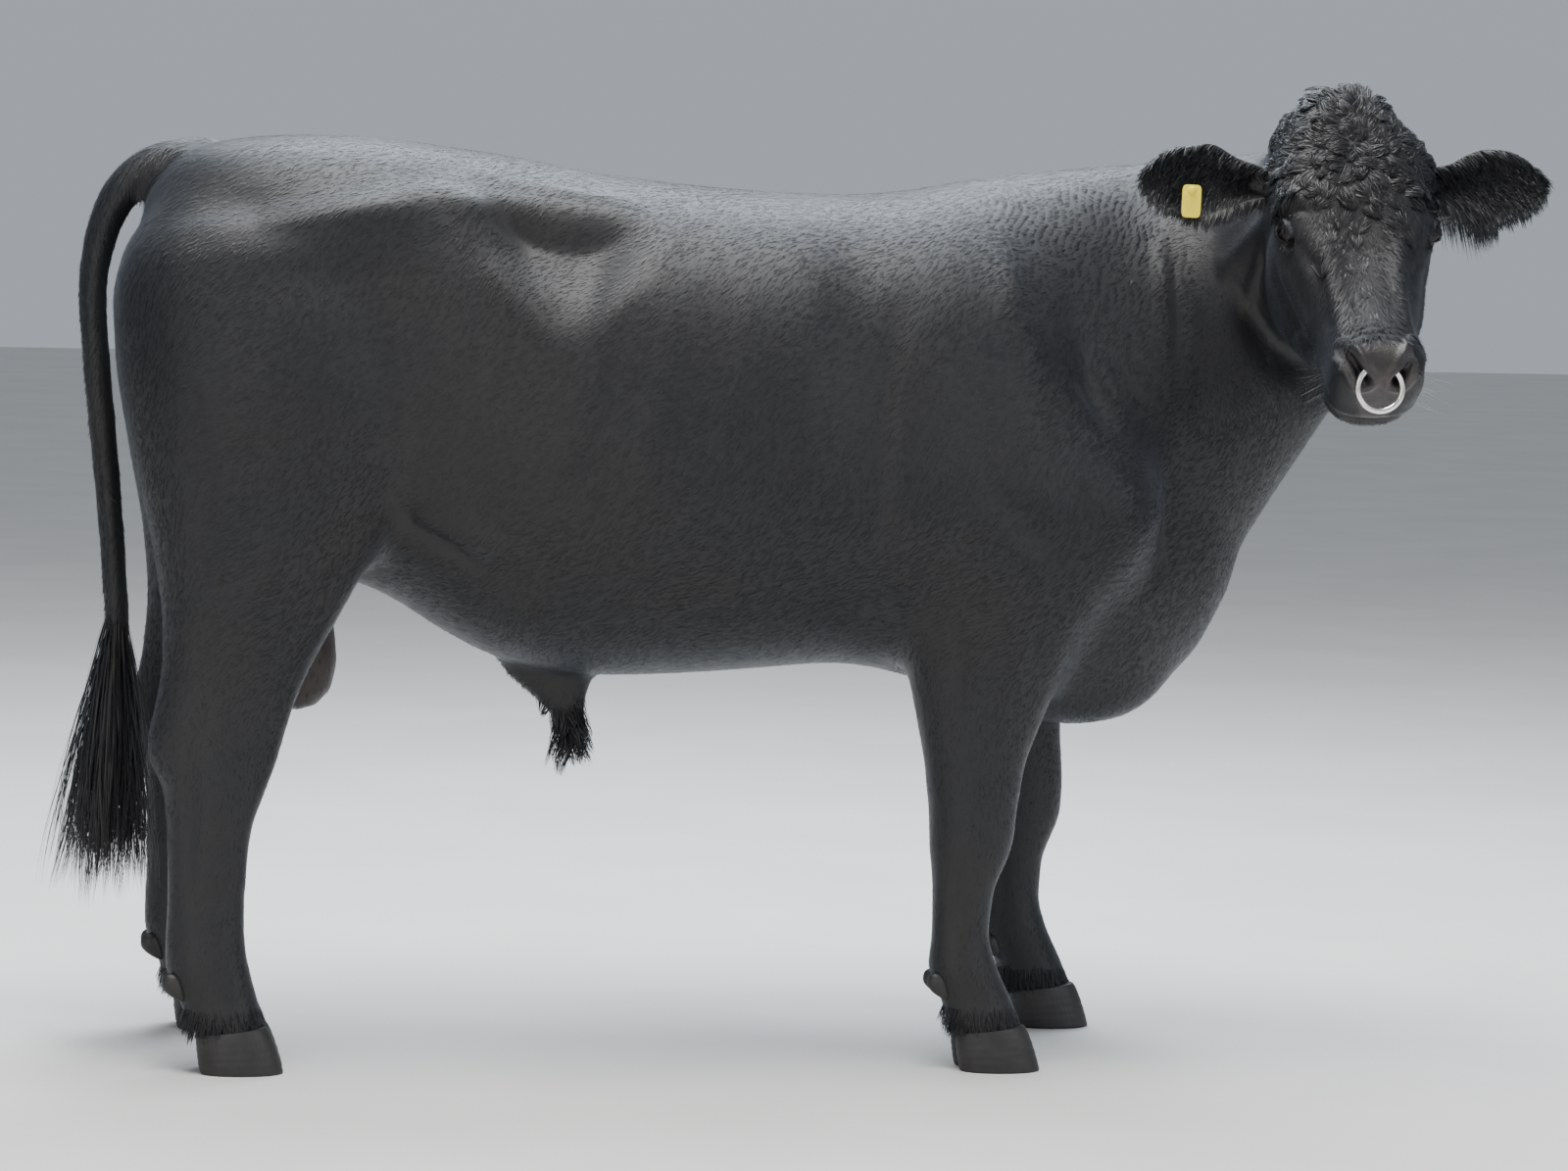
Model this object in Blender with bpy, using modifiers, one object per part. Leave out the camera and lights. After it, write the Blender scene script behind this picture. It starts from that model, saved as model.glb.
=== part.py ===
"""Black Angus bull: a still, life-size model of a standing bull with its head turned to its right.

Metres, +X towards the head end, +Y to the bull's left, +Z up, soles on z = 0.
"""
import math
import random

import bmesh
import bpy
import numpy as np
from mathutils import Matrix, Vector
from mathutils.bvhtree import BVHTree

# Overall frame: the body is laid out from the middle of the barrel, then moved to the middle of its box.
BOX_CENTRE_X = 0.0045
BOX_CENTRE_Y = -0.0958
GAP = 0.0003
SEED = 7441

# Resolution of the flesh, and the passes that even it out
BODY_VOXEL = 0.016
HEAD_VOXEL = 0.0065
TRUNK_PASSES = 12
HEAD_PASSES = 8
TRUNK_TRIANGLES = 4400
HEAD_TRIANGLES = 3300

# Trunk: height of the back and of the belly along X, half width, height of the widest place
BACK_LINE = ((-1.02, 1.335), (-0.96, 1.402), (-0.88, 1.422), (-0.71, 1.431), (-0.50, 1.412), (-0.26, 1.376),
             (-0.10, 1.362), (0.08, 1.357), (0.30, 1.384), (0.45, 1.400), (0.56, 1.36), (0.66, 1.20),
              (0.72, 1.00))
BELLY_LINE = ((-1.02, 1.02), (-0.96, 0.88), (-0.88, 0.80), (-0.78, 0.752), (-0.66, 0.725), (-0.54, 0.655),
              (-0.43, 0.605), (-0.29, 0.588), (-0.09, 0.598), (0.08, 0.612), (0.22, 0.585), (0.36, 0.535),
              (0.46, 0.512), (0.55, 0.530), (0.63, 0.600), (0.69, 0.665), (0.72, 0.74))
HALF_WIDTH = ((-1.02, 0.11), (-0.96, 0.175), (-0.88, 0.225), (-0.76, 0.262), (-0.62, 0.285), (-0.43, 0.322),
              (-0.25, 0.352), (-0.05, 0.362), (0.12, 0.345), (0.30, 0.305), (0.45, 0.262), (0.58, 0.212),
              (0.66, 0.162), (0.72, 0.095))
WIDEST_HEIGHT = ((-1.02, 1.20), (-0.88, 1.20), (-0.65, 1.13), (-0.40, 0.99), (0.0, 0.95), (0.45, 0.90),
                 (0.72, 0.86))
BACK_SQUARENESS = ((-1.02, 2.2), (-0.70, 2.7), (-0.35, 2.6), (0.10, 2.35), (0.35, 2.0), (0.72, 2.0))
BELLY_SQUARENESS = ((-1.02, 2.0), (-0.65, 2.0), (-0.30, 2.15), (0.20, 2.2), (0.50, 2.0), (0.72, 2.0))
TRUNK_STATIONS = 30

# Neck: centre, heading to the right and upward in degrees, reach up, reach down, half width
NECK_STATIONS = (
    ((0.30, 0.0, 0.99), 0.0, 12.0, 0.395, 0.38, 0.275),
    ((0.47, 0.002, 1.04), 3.0, 20.0, 0.380, 0.355, 0.250),
    ((0.61, -0.005, 1.10), 12.0, 26.0, 0.345, 0.312, 0.222),
    ((0.71, -0.035, 1.16), 30.0, 28.0, 0.298, 0.236, 0.197),
    ((0.785, -0.095, 1.215), 52.0, 20.0, 0.240, 0.192, 0.175),
    ((0.81, -0.17, 1.265), 75.0, -5.0, 0.185, 0.158, 0.155),
    ((0.815, -0.235, 1.255), 88.0, -25.0, 0.150, 0.14, 0.13),
)

# Legs, right side: height, rear edge, front edge, inner side, outer side
HIND_LEG = (
    (1.340, -0.965, -0.680, 0.035, 0.190),
    (1.260, -1.040, -0.610, 0.022, 0.262),
    (1.180, -1.062, -0.585, 0.020, 0.300),
    (1.050, -1.052, -0.572, 0.024, 0.318),
    (0.920, -1.026, -0.600, 0.040, 0.310),
    (0.800, -0.997, -0.652, 0.075, 0.288),
    (0.700, -0.982, -0.697, 0.112, 0.262),
    (0.610, -0.982, -0.745, 0.132, 0.247),
    (0.555, -0.992, -0.768, 0.138, 0.242),
    (0.515, -1.002, -0.780, 0.140, 0.240),
    (0.475, -1.000, -0.792, 0.141, 0.239),
    (0.435, -0.975, -0.808, 0.143, 0.237),
    (0.370, -0.968, -0.832, 0.149, 0.231),
    (0.270, -0.967, -0.840, 0.155, 0.225),
    (0.200, -0.968, -0.840, 0.153, 0.227),
    (0.155, -0.968, -0.832, 0.147, 0.233),
    (0.112, -0.946, -0.820, 0.148, 0.232),
    (0.060, -0.932, -0.802, 0.138, 0.242),
)
FORE_LEG = (
    (1.270, 0.130, 0.330, 0.070, 0.205),
    (1.150, 0.100, 0.430, 0.055, 0.272),
    (1.000, 0.095, 0.520, 0.050, 0.314),
    (0.880, 0.110, 0.560, 0.058, 0.324),
    (0.780, 0.128, 0.522, 0.072, 0.316),
    (0.680, 0.148, 0.450, 0.095, 0.294),
    (0.580, 0.172, 0.402, 0.112, 0.268),
    (0.480, 0.195, 0.362, 0.124, 0.252),
    (0.405, 0.205, 0.350, 0.129, 0.248),
    (0.345, 0.208, 0.344, 0.133, 0.244),
    (0.280, 0.214, 0.316, 0.146, 0.232),
    (0.205, 0.214, 0.310, 0.151, 0.228),
    (0.155, 0.208, 0.326, 0.143, 0.236),
    (0.112, 0.230, 0.348, 0.147, 0.232),
    (0.060, 0.246, 0.368, 0.138, 0.242),
)
# Forward shift of the left legs, by height: the left foreleg is a step ahead, the left hind a little behind
LEFT_HIND_SHIFT = ((0.0, -0.032), (0.55, -0.030), (0.90, -0.008), (1.34, 0.0))
LEFT_FORE_SHIFT = ((0.0, 0.155), (0.38, 0.150), (0.62, 0.082), (0.85, 0.020), (1.27, 0.0))

# Claws: two to a foot
CLAW_LENGTH = 0.126
CLAW_WIDTH = 0.054
CLAW_SPLIT = 0.006
CLAW_SLOPE = 0.016
CLAW_INNER_FLAT = -0.62
CLAW_TOE_HEIGHT = 0.074
CLAW_HEEL_HEIGHT = 0.060
HIND_TOE_X = -0.783
FORE_TOE_X = 0.389
FOOT_Y = 0.190
DEWCLAW_HEIGHT = 0.130
DEWCLAW_SIZE = (0.017, 0.012, 0.022)
DEWCLAW_SPREAD = 0.021
DEWCLAW_BACK = {"hind": -0.166, "fore": -0.160}

# A lock: shares of its length and of its width at each section, sides, and how much thinner its tip is
LOCK_GIRTH = ((0.0, 0.80), (0.42, 1.0), (0.78, 0.68))
LOCK_SIDES = 5
LOCK_THINNING = 0.35

# Tail, over the rump and down behind the thighs
TAIL_PATH = ((-0.900, 0.000, 1.385), (-0.975, -0.002, 1.378), (-1.030, -0.006, 1.345), (-1.066, -0.010, 1.285),
             (-1.084, -0.015, 1.190), (-1.078, -0.018, 1.080), (-1.068, -0.018, 0.975), (-1.054, -0.016, 0.830),
             (-1.044, -0.012, 0.700), (-1.040, -0.010, 0.640))
TAIL_RADII = (0.040, 0.039, 0.036, 0.031, 0.027, 0.026, 0.026, 0.025, 0.024, 0.023)
TAIL_END_Z = 0.655
# Height, middle along X, half depth along X, half width
SWITCH_Y = -0.010
SWITCH_CORE = ((0.655, -1.042, 0.025, 0.023), (0.610, -1.042, 0.030, 0.026), (0.550, -1.040, 0.030, 0.026),
               (0.490, -1.040, 0.024, 0.021), (0.445, -1.042, 0.010, 0.009))
# Tiers of locks on the switch: root height, count, length, spread of the tips from the middle
SWITCH_TIERS = ((0.640, 6, 0.215, 0.034), (0.590, 6, 0.225, 0.030), (0.540, 5, 0.235, 0.024),
                (0.490, 4, 0.235, 0.016), (0.460, 2, 0.225, 0.004))
SWITCH_LEAN = -0.022
SWITCH_LOCK = (0.036, 0.012)
SHEATH_STATIONS = ((0.660, -0.385, 0.100, 0.045), (0.590, -0.368, 0.072, 0.036), (0.555, -0.352, 0.046, 0.028),
                   (0.525, -0.338, 0.028, 0.022), (0.500, -0.332, 0.020, 0.017), (0.480, -0.333, 0.010, 0.009))
SHEATH_LOCKS = 6
SHEATH_LOCK = (0.022, 0.009)
SHEATH_LOCK_LENGTH = 0.085
SCROTUM_STATIONS = ((0.790, -0.765, 0.052, 0.040), (0.720, -0.765, 0.054, 0.046), (0.660, -0.768, 0.066, 0.058),
                    (0.610, -0.770, 0.073, 0.062), (0.565, -0.770, 0.064, 0.055), (0.538, -0.770, 0.040, 0.036),
                    (0.530, -0.770, 0.015, 0.014))

# Head: the origin lies under the poll; nose axis f, brow axis u, left axis s
HEAD_ORIGIN = (0.815, -0.24, 1.453)
HEAD_YAW = 91.0
HEAD_PITCH = 46.0
HEAD_ROLL = 2.0
# Along the nose: brow side, throat side, half width near the brow, half width near the jaw
HEAD_STATIONS = (
    (-0.060, 0.045, -0.250, 0.098, 0.092),
    (-0.020, 0.070, -0.275, 0.112, 0.094),
    (0.030, 0.081, -0.285, 0.123, 0.098),
    (0.085, 0.073, -0.288, 0.138, 0.102),
    (0.140, 0.058, -0.282, 0.142, 0.106),
    (0.190, 0.038, -0.266, 0.138, 0.106),
    (0.245, 0.020, -0.242, 0.118, 0.096),
    (0.300, 0.008, -0.214, 0.095, 0.080),
    (0.350, 0.003, -0.192, 0.082, 0.068),
    (0.392, 0.004, -0.178, 0.080, 0.064),
    (0.430, 0.000, -0.166, 0.084, 0.062),
    (0.454, -0.010, -0.146, 0.080, 0.054),
    (0.468, -0.028, -0.112, 0.062, 0.040),
)
# Relief of the head, mirrored unless on the middle: left, brow, nose; radii; height along the surface normal
HEAD_RELIEF = (
    ((0.085, -0.160, 0.150), (0.060, 0.085, 0.095), 0.010),
    ((0.125, 0.012, 0.180), (0.060, 0.026, 0.042), 0.010),
    ((0.125, -0.025, 0.062), (0.050, 0.040, 0.040), 0.018),
    ((0.000, 0.095, 0.010), (0.065, 0.060, 0.060), 0.010),
    ((0.000, 0.030, 0.235), (0.045, 0.040, 0.070), -0.005),
    ((0.055, -0.012, 0.435), (0.030, 0.028, 0.032), 0.008),
    ((0.050, -0.080, 0.430), (0.040, 0.030, 0.040), 0.008),
    ((0.000, -0.160, 0.410), (0.045, 0.030, 0.040), 0.013),
    ((0.082, -0.070, 0.305), (0.040, 0.030, 0.060), 0.005),
    ((0.105, -0.070, 0.240), (0.040, 0.030, 0.040), -0.006),
)

EYE_RADIUS = 0.0205
EYE_AT = (0.114, -0.016, 0.178)
EYE_FACING = (0.88, 0.10, 0.44)
LID_THICKNESS = 0.0050
LID_SINK = 0.0010
EYE_PROUD = 0.0045
EYE_HALF_LENGTH = 0.0190
LID_UPPER = 0.0130
LID_LOWER = 0.0120
NOSTRIL_PATH = ((0.027, -0.040, 0.482), (0.034, -0.030, 0.466), (0.045, -0.014, 0.456),
                (0.058, -0.001, 0.446))
NOSTRIL_RADII = (0.008, 0.012, 0.010, 0.005)
MOUTH_AT = (0.0, -0.122, 0.350)
MOUTH_RISE = 0.010
MOUTH_SWEEP = 82.0
MOUTH_POINTS = 13
MOUTH_DEPTH = 0.0038
RING_OUTER = 0.076
RING_ROD = 0.009
RING_HOLE_AT = (0.0, -0.021, 0.446)

EAR_LENGTH = 0.192
EAR_WIDTH = 0.140
EAR_THICKNESS = 0.007
EAR_OUTLINE = ((0.0, 0.36), (0.18, 0.55), (0.52, 1.0), (0.78, 0.80), (0.93, 0.42), (1.0, 0.12))
EAR_ROOT = (0.124, -0.030, 0.066)
EAR_ROOT_RADII = (0.030, 0.026, 0.012)
EAR_RISE = {-1: 0.05, 1: -0.03}
EAR_FORWARD = 0.10
EAR_CUP = 0.020
EAR_BACK = 0.012
EAR_ROWS = 8
EAR_COLUMNS = 6
TAG_SIZE = (0.030, 0.050, 0.0022)
TAG_PLACE = (0.62, -0.20)
TAG_PIN = 0.0028
TAG_STANDOFF = 0.0245
TAG_BACK = 0.010
TAG_BUTTON = 0.012

# Curls of the forehead and poll: rows from the poll down the face, with the half width that each row covers
CURL_ROWS = ((-0.026, 0.066), (0.000, 0.086), (0.026, 0.096), (0.052, 0.100), (0.078, 0.097), (0.104, 0.088),
             (0.130, 0.074), (0.156, 0.056), (0.180, 0.034))
CURL_SPACING = 0.043
CURL_SIZE = (0.0250, 0.0215, 0.0105)
CURL_SINK = 0.0042
SWIRL_AT = 0.060
# Fringe along the ear: place along its lower edge and length of each lock
FRINGE = ((0.14, 0.056), (0.24, 0.064), (0.34, 0.066), (0.44, 0.058), (0.54, 0.048), (0.66, 0.038),
          (0.79, 0.030), (0.91, 0.026))
# Share of the fringe's length on the right and left ear
FRINGE_SHARE = {-1: 0.62, 1: 1.0}
FRINGE_LOCK = (0.027, 0.0060)

COAT_COLOUR = (0.012, 0.013, 0.016)
HORN_COLOUR = (0.030, 0.026, 0.024)
EYE_COLOUR = (0.010, 0.007, 0.006)
METAL_COLOUR = (0.86, 0.84, 0.78)
TAG_COLOUR = (0.85, 0.68, 0.03)
SKIN_COLOUR = (0.045, 0.034, 0.033)


def clear_scene():
    for item in list(bpy.data.objects):
        bpy.data.objects.remove(item, do_unlink=True)


def make_collection(name):
    group = bpy.data.collections.new(name)
    bpy.context.scene.collection.children.link(group)
    return group


def make_material(name, colour, roughness, metallic=0.0):
    material = bpy.data.materials.new(name)
    material.use_nodes = True
    shader = material.node_tree.nodes["Principled BSDF"]
    shader.inputs["Base Color"].default_value = (*colour, 1.0)
    shader.inputs["Roughness"].default_value = roughness
    shader.inputs["Metallic"].default_value = metallic
    return material


def add_object(name, mesh, group, material=None):
    item = bpy.data.objects.new(name, mesh)
    group.objects.link(item)
    if material is not None:
        mesh.materials.clear()
        mesh.materials.append(material)
    return item


def mesh_from_bmesh(bm, name):
    bmesh.ops.recalc_face_normals(bm, faces=bm.faces)
    mesh = bpy.data.meshes.new(name)
    bm.to_mesh(mesh)
    bm.free()
    return mesh


def value_at(keys, place):
    """Smooth curve through a few keys: cubic, flat past the ends, never overshooting a key."""
    xs = [key[0] for key in keys]
    ys = [key[1] for key in keys]
    if place <= xs[0]:
        return ys[0]
    if place >= xs[-1]:
        return ys[-1]
    slopes = [(ys[i + 1] - ys[i]) / (xs[i + 1] - xs[i]) for i in range(len(xs) - 1)]
    tangents = [slopes[0]]
    for before, after in zip(slopes, slopes[1:]):
        tangents.append(0.0 if before * after <= 0.0 else 2.0 * before * after / (before + after))
    tangents.append(slopes[-1])
    i = max(k for k in range(len(xs) - 1) if xs[k] <= place)
    width = xs[i + 1] - xs[i]
    t = (place - xs[i]) / width
    return ((2 * t**3 - 3 * t**2 + 1) * ys[i] + (t**3 - 2 * t**2 + t) * width * tangents[i]
            + (-2 * t**3 + 3 * t**2) * ys[i + 1] + (t**3 - t**2) * width * tangents[i + 1])


def squared(value, power):
    return math.copysign(abs(value) ** power, value)


def ring_points(centre, side, up, half_width, reach_up, reach_down, square_up=2.0, square_down=2.0, count=28):
    """Closed section: a superellipse whose upper and lower halves differ in reach and squareness."""
    points = []
    for k in range(count):
        angle = 2.0 * math.pi * (k + 0.5) / count
        upper = math.cos(angle) >= 0.0
        square = square_up if upper else square_down
        reach = reach_up if upper else reach_down
        points.append(Vector(centre) + Vector(side) * half_width * squared(math.sin(angle), 2.0 / square)
                      + Vector(up) * reach * squared(math.cos(angle), 2.0 / square))
    return points


def loft(name, rings, group, material=None):
    """Closed skin through a row of rings of equal count, with a flat cap at each end."""
    bm = bmesh.new()
    rows = [[bm.verts.new(point) for point in ring] for ring in rings]
    count = len(rows[0])
    for lower, upper in zip(rows, rows[1:]):
        for k in range(count):
            bm.faces.new((lower[k], lower[(k + 1) % count], upper[(k + 1) % count], upper[k]))
    bm.faces.new(rows[0][::-1])
    bm.faces.new(rows[-1])
    return add_object(name, mesh_from_bmesh(bm, name), group, material)


def ellipsoid(name, centre, radii, group, turn=None, segments=20, rings=12):
    bm = bmesh.new()
    bmesh.ops.create_uvsphere(bm, u_segments=segments, v_segments=rings, radius=1.0)
    turned = turn.to_4x4() if turn else Matrix()
    place = Matrix.Translation(Vector(centre)) @ turned @ Matrix.Diagonal((*radii, 1.0))
    bmesh.ops.transform(bm, matrix=place, verts=bm.verts)
    return add_object(name, mesh_from_bmesh(bm, name), group)


def tube(name, points, radii, group, material=None, sides=2, smooth=True, steps=4):
    """Tapered round rod along a smooth curve, made a closed mesh."""
    curve = bpy.data.curves.new(name, "CURVE")
    curve.dimensions = "3D"
    curve.bevel_depth = 1.0
    curve.bevel_resolution = sides
    curve.use_fill_caps = True
    spline = curve.splines.new("POLY")
    if smooth:
        points, radii = smooth_path(points, radii, steps)
    spline.points.add(len(points) - 1)
    for node, point, radius in zip(spline.points, points, radii):
        node.co = (*point, 1.0)
        node.radius = radius
    item = bpy.data.objects.new(name, curve)
    group.objects.link(item)
    return curve_to_mesh(item, group, material)


def curve_to_mesh(item, group, material=None):
    bpy.context.view_layer.update()
    graph = bpy.context.evaluated_depsgraph_get()
    mesh = bpy.data.meshes.new_from_object(item.evaluated_get(graph))
    name, place = item.name, item.matrix_world.copy()
    bpy.data.objects.remove(item, do_unlink=True)
    bm = bmesh.new()
    bm.from_mesh(mesh)
    bmesh.ops.remove_doubles(bm, verts=bm.verts, dist=0.00002)
    bmesh.ops.recalc_face_normals(bm, faces=bm.faces)
    bm.to_mesh(mesh)
    bm.free()
    solid = add_object(name, mesh, group, material)
    solid.matrix_world = place
    return solid


def smooth_path(points, radii, steps):
    """Points and radii along a smooth curve through a few of them."""
    points = [Vector(point) for point in points]
    ends = [points[0] * 2 - points[1]] + points + [points[-1] * 2 - points[-2]]
    path, sizes = [], []
    for i in range(len(points) - 1):
        a, b, c, d = ends[i:i + 4]
        for k in range(steps):
            t = k / steps
            path.append(0.5 * (2 * b + (c - a) * t + (2 * a - 5 * b + 4 * c - d) * t * t
                               + (3 * b - a - 3 * c + d) * t**3))
            sizes.append(radii[i] * (1 - t) + radii[i + 1] * t)
    return path + [points[-1]], sizes + [radii[-1]]


def lock(name, root, along, face, length, size, bend, group):
    """Flat tapered lock of hair: five-sided sections along a bend, broad face towards the face vector."""
    along = Vector(along).normalized()
    side = along.cross(Vector(face)).normalized()
    flat = side.cross(along)
    rings = []
    for share, girth in LOCK_GIRTH:
        centre = Vector(root) + along * length * share + Vector(bend) * share * share
        wide = side * size[0] / 2 * girth
        thick = flat * size[1] / 2 * (1.0 - LOCK_THINNING * share)
        turns = [2.0 * math.pi * k / LOCK_SIDES for k in range(LOCK_SIDES)]
        rings.append([centre + wide * math.cos(turn) + thick * math.sin(turn) for turn in turns])
    bm = bmesh.new()
    rows = [[bm.verts.new(point) for point in ring] for ring in rings]
    tip = bm.verts.new(Vector(root) + along * length + Vector(bend))
    for lower, upper in zip(rows, rows[1:]):
        for k in range(LOCK_SIDES):
            after = (k + 1) % LOCK_SIDES
            bm.faces.new((lower[k], lower[after], upper[after], upper[k]))
    for k in range(LOCK_SIDES):
        bm.faces.new((rows[-1][k], rows[-1][(k + 1) % LOCK_SIDES], tip))
    bm.faces.new(rows[0][::-1])
    return add_object(name, mesh_from_bmesh(bm, name), group)


def apply_modifiers(item):
    bpy.context.view_layer.update()
    graph = bpy.context.evaluated_depsgraph_get()
    mesh = bpy.data.meshes.new_from_object(item.evaluated_get(graph))
    old = item.data
    item.modifiers.clear()
    item.data = mesh
    mesh.name = item.name
    if old.users == 0:
        bpy.data.meshes.remove(old)
    return item


def boolean(item, other, operation, solver="EXACT"):
    modifier = item.modifiers.new(operation.lower(), "BOOLEAN")
    modifier.operation = operation
    modifier.solver = solver
    modifier.object = other
    return apply_modifiers(item)


def keep_largest(item):
    """Leaves only the largest closed surface of a solid."""
    bm = bmesh.new()
    bm.from_mesh(item.data)
    left = set(bm.verts)
    pieces = []
    while left:
        start = left.pop()
        piece, front = {start}, [start]
        while front:
            for edge in front.pop().link_edges:
                for vert in edge.verts:
                    if vert not in piece:
                        piece.add(vert)
                        front.append(vert)
        left -= piece
        pieces.append(piece)
    pieces.sort(key=len)
    for piece in pieces[:-1]:
        bmesh.ops.delete(bm, geom=list(piece), context="VERTS")
    bm.to_mesh(item.data)
    bm.free()
    return item


def fuse(item, pieces_group, solver="EXACT"):
    """Joins every piece of a collection to a solid, then removes the pieces."""
    modifier = item.modifiers.new("union", "BOOLEAN")
    modifier.operand_type = "COLLECTION"
    modifier.operation = "UNION"
    modifier.solver = solver
    modifier.collection = pieces_group
    apply_modifiers(item)
    empty_collection(pieces_group)
    return keep_largest(item)


def empty_collection(group):
    for piece in list(group.objects):
        bpy.data.objects.remove(piece, do_unlink=True)


def join_shapes(name, shapes, group):
    """One mesh holding several overlapping closed shapes."""
    bm = bmesh.new()
    for shape in shapes:
        bm.from_mesh(shape.data)
    for shape in shapes:
        bpy.data.objects.remove(shape, do_unlink=True)
    mesh = bpy.data.meshes.new(name)
    bm.to_mesh(mesh)
    bm.free()
    return add_object(name, mesh, group)


def remesh(item, voxel):
    modifier = item.modifiers.new("skin", "REMESH")
    modifier.mode = "VOXEL"
    modifier.voxel_size = voxel
    modifier.adaptivity = 0.0
    return keep_largest(apply_modifiers(item))


def relax(item, passes, weight_at):
    """Evens out the surface; weight_at gives each point's share, so thin limbs keep their girth."""
    mesh = item.data
    count = len(mesh.vertices)
    ends = np.empty(len(mesh.edges) * 2, dtype=int)
    mesh.edges.foreach_get("vertices", ends)
    first, second = ends[0::2], ends[1::2]
    points = np.empty(count * 3)
    mesh.vertices.foreach_get("co", points)
    points = points.reshape(-1, 3)
    links = np.bincount(first, minlength=count) + np.bincount(second, minlength=count)
    weight = weight_at(points)[:, None]
    for _ in range(passes):
        mean = np.stack([np.bincount(first, points[second, axis], count)
                         + np.bincount(second, points[first, axis], count)
                         for axis in range(3)], axis=1) / links[:, None]
        points = points + (mean - points) * weight
    mesh.vertices.foreach_set("co", points.ravel())
    mesh.update()


def trunk_weight(points):
    """Strong on the trunk, weak on the lower legs."""
    return 0.12 + 0.48 * np.clip((points[:, 2] - 0.45) / 0.35, 0.0, 1.0)


def head_weight(points):
    return np.full(len(points), 0.5)


def decimate(item, triangles):
    item.data.calc_loop_triangles()
    modifier = item.modifiers.new("fewer", "DECIMATE")
    modifier.ratio = min(1.0, triangles / len(item.data.loop_triangles))
    modifier.use_collapse_triangulate = True
    return apply_modifiers(item)


def head_axes():
    """Columns: left, brow, nose."""
    yaw, pitch, roll = (math.radians(angle) for angle in (HEAD_YAW, HEAD_PITCH, HEAD_ROLL))
    nose = Vector((math.cos(pitch) * math.cos(yaw), -math.cos(pitch) * math.sin(yaw), -math.sin(pitch)))
    brow = Vector((math.sin(pitch) * math.cos(yaw), -math.sin(pitch) * math.sin(yaw), math.cos(pitch)))
    left = brow.cross(nose)
    cosine, sine = math.cos(roll), math.sin(roll)
    left, brow = left * cosine + brow * sine, brow * cosine - left * sine
    return Matrix((left, brow, nose)).transposed()


HEAD_TURN = head_axes()


def on_head(point):
    return Vector(HEAD_ORIGIN) + HEAD_TURN @ Vector(point)


def from_head(points):
    """Head coordinates (left, brow, nose) of an array of world points."""
    return (points - np.array(HEAD_ORIGIN)) @ np.array(HEAD_TURN)


def mirrored(point, side):
    return (point[0] * side, point[1], point[2])


def trunk_shape(group):
    first, last = BACK_LINE[0][0], BACK_LINE[-1][0]
    rings = []
    for k in range(TRUNK_STATIONS + 1):
        x = first + (last - first) * k / TRUNK_STATIONS
        top, bottom = value_at(BACK_LINE, x), value_at(BELLY_LINE, x)
        widest = value_at(WIDEST_HEIGHT, x)
        rings.append(ring_points((x, 0.0, widest), (0, 1, 0), (0, 0, 1), value_at(HALF_WIDTH, x),
                                 top - widest, widest - bottom, value_at(BACK_SQUARENESS, x),
                                 value_at(BELLY_SQUARENESS, x), 36))
    return loft("trunk", rings, group)


def neck_shape(group):
    rings = []
    for centre, right, rise, reach_up, reach_down, half_width in NECK_STATIONS:
        yaw, pitch = math.radians(right), math.radians(rise)
        ahead = Vector((math.cos(pitch) * math.cos(yaw), -math.cos(pitch) * math.sin(yaw), math.sin(pitch)))
        side = Vector((math.sin(yaw), math.cos(yaw), 0.0))
        up = ahead.cross(side)
        rings.append(ring_points(centre, side, up, half_width, reach_up, reach_down, 1.85, 1.9, 36))
    return loft("neck_core", rings, group)


def leg_shape(name, rows, side, shift, group):
    rings = []
    for height, rear, front, inner, outer in rows:
        step = value_at(shift, height) if side > 0 else 0.0
        centre = ((rear + front) / 2 + step, side * (inner + outer) / 2, height)
        half_width, reach = (outer - inner) / 2, (front - rear) / 2
        rings.append(ring_points(centre, (0, 1, 0), (1, 0, 0), half_width, reach, reach, 2.25, 2.25, 24))
    return loft(name, rings, group)


def head_shapes(group):
    rings = []
    for along, brow, throat, half_brow, half_jaw in HEAD_STATIONS:
        ring = []
        middle, reach = (brow + throat) / 2, (brow - throat) / 2
        for k in range(32):
            angle = 2 * math.pi * (k + 0.5) / 32
            across, up = squared(math.sin(angle), 2 / 2.9), squared(math.cos(angle), 2 / 2.4)
            half = half_jaw + (half_brow - half_jaw) * (up + 1) / 2
            ring.append(on_head((across * half, middle + up * reach, along)))
        rings.append(ring)
    return [loft("skull", rings, group)]


def brisket_shapes(group):
    centre, radii = (0.480, 0.055, 0.650), (0.150, 0.105, 0.128)
    return [ellipsoid("brisket", (centre[0], centre[1] * side, centre[2]), radii, group) for side in (-1, 1)]


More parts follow.
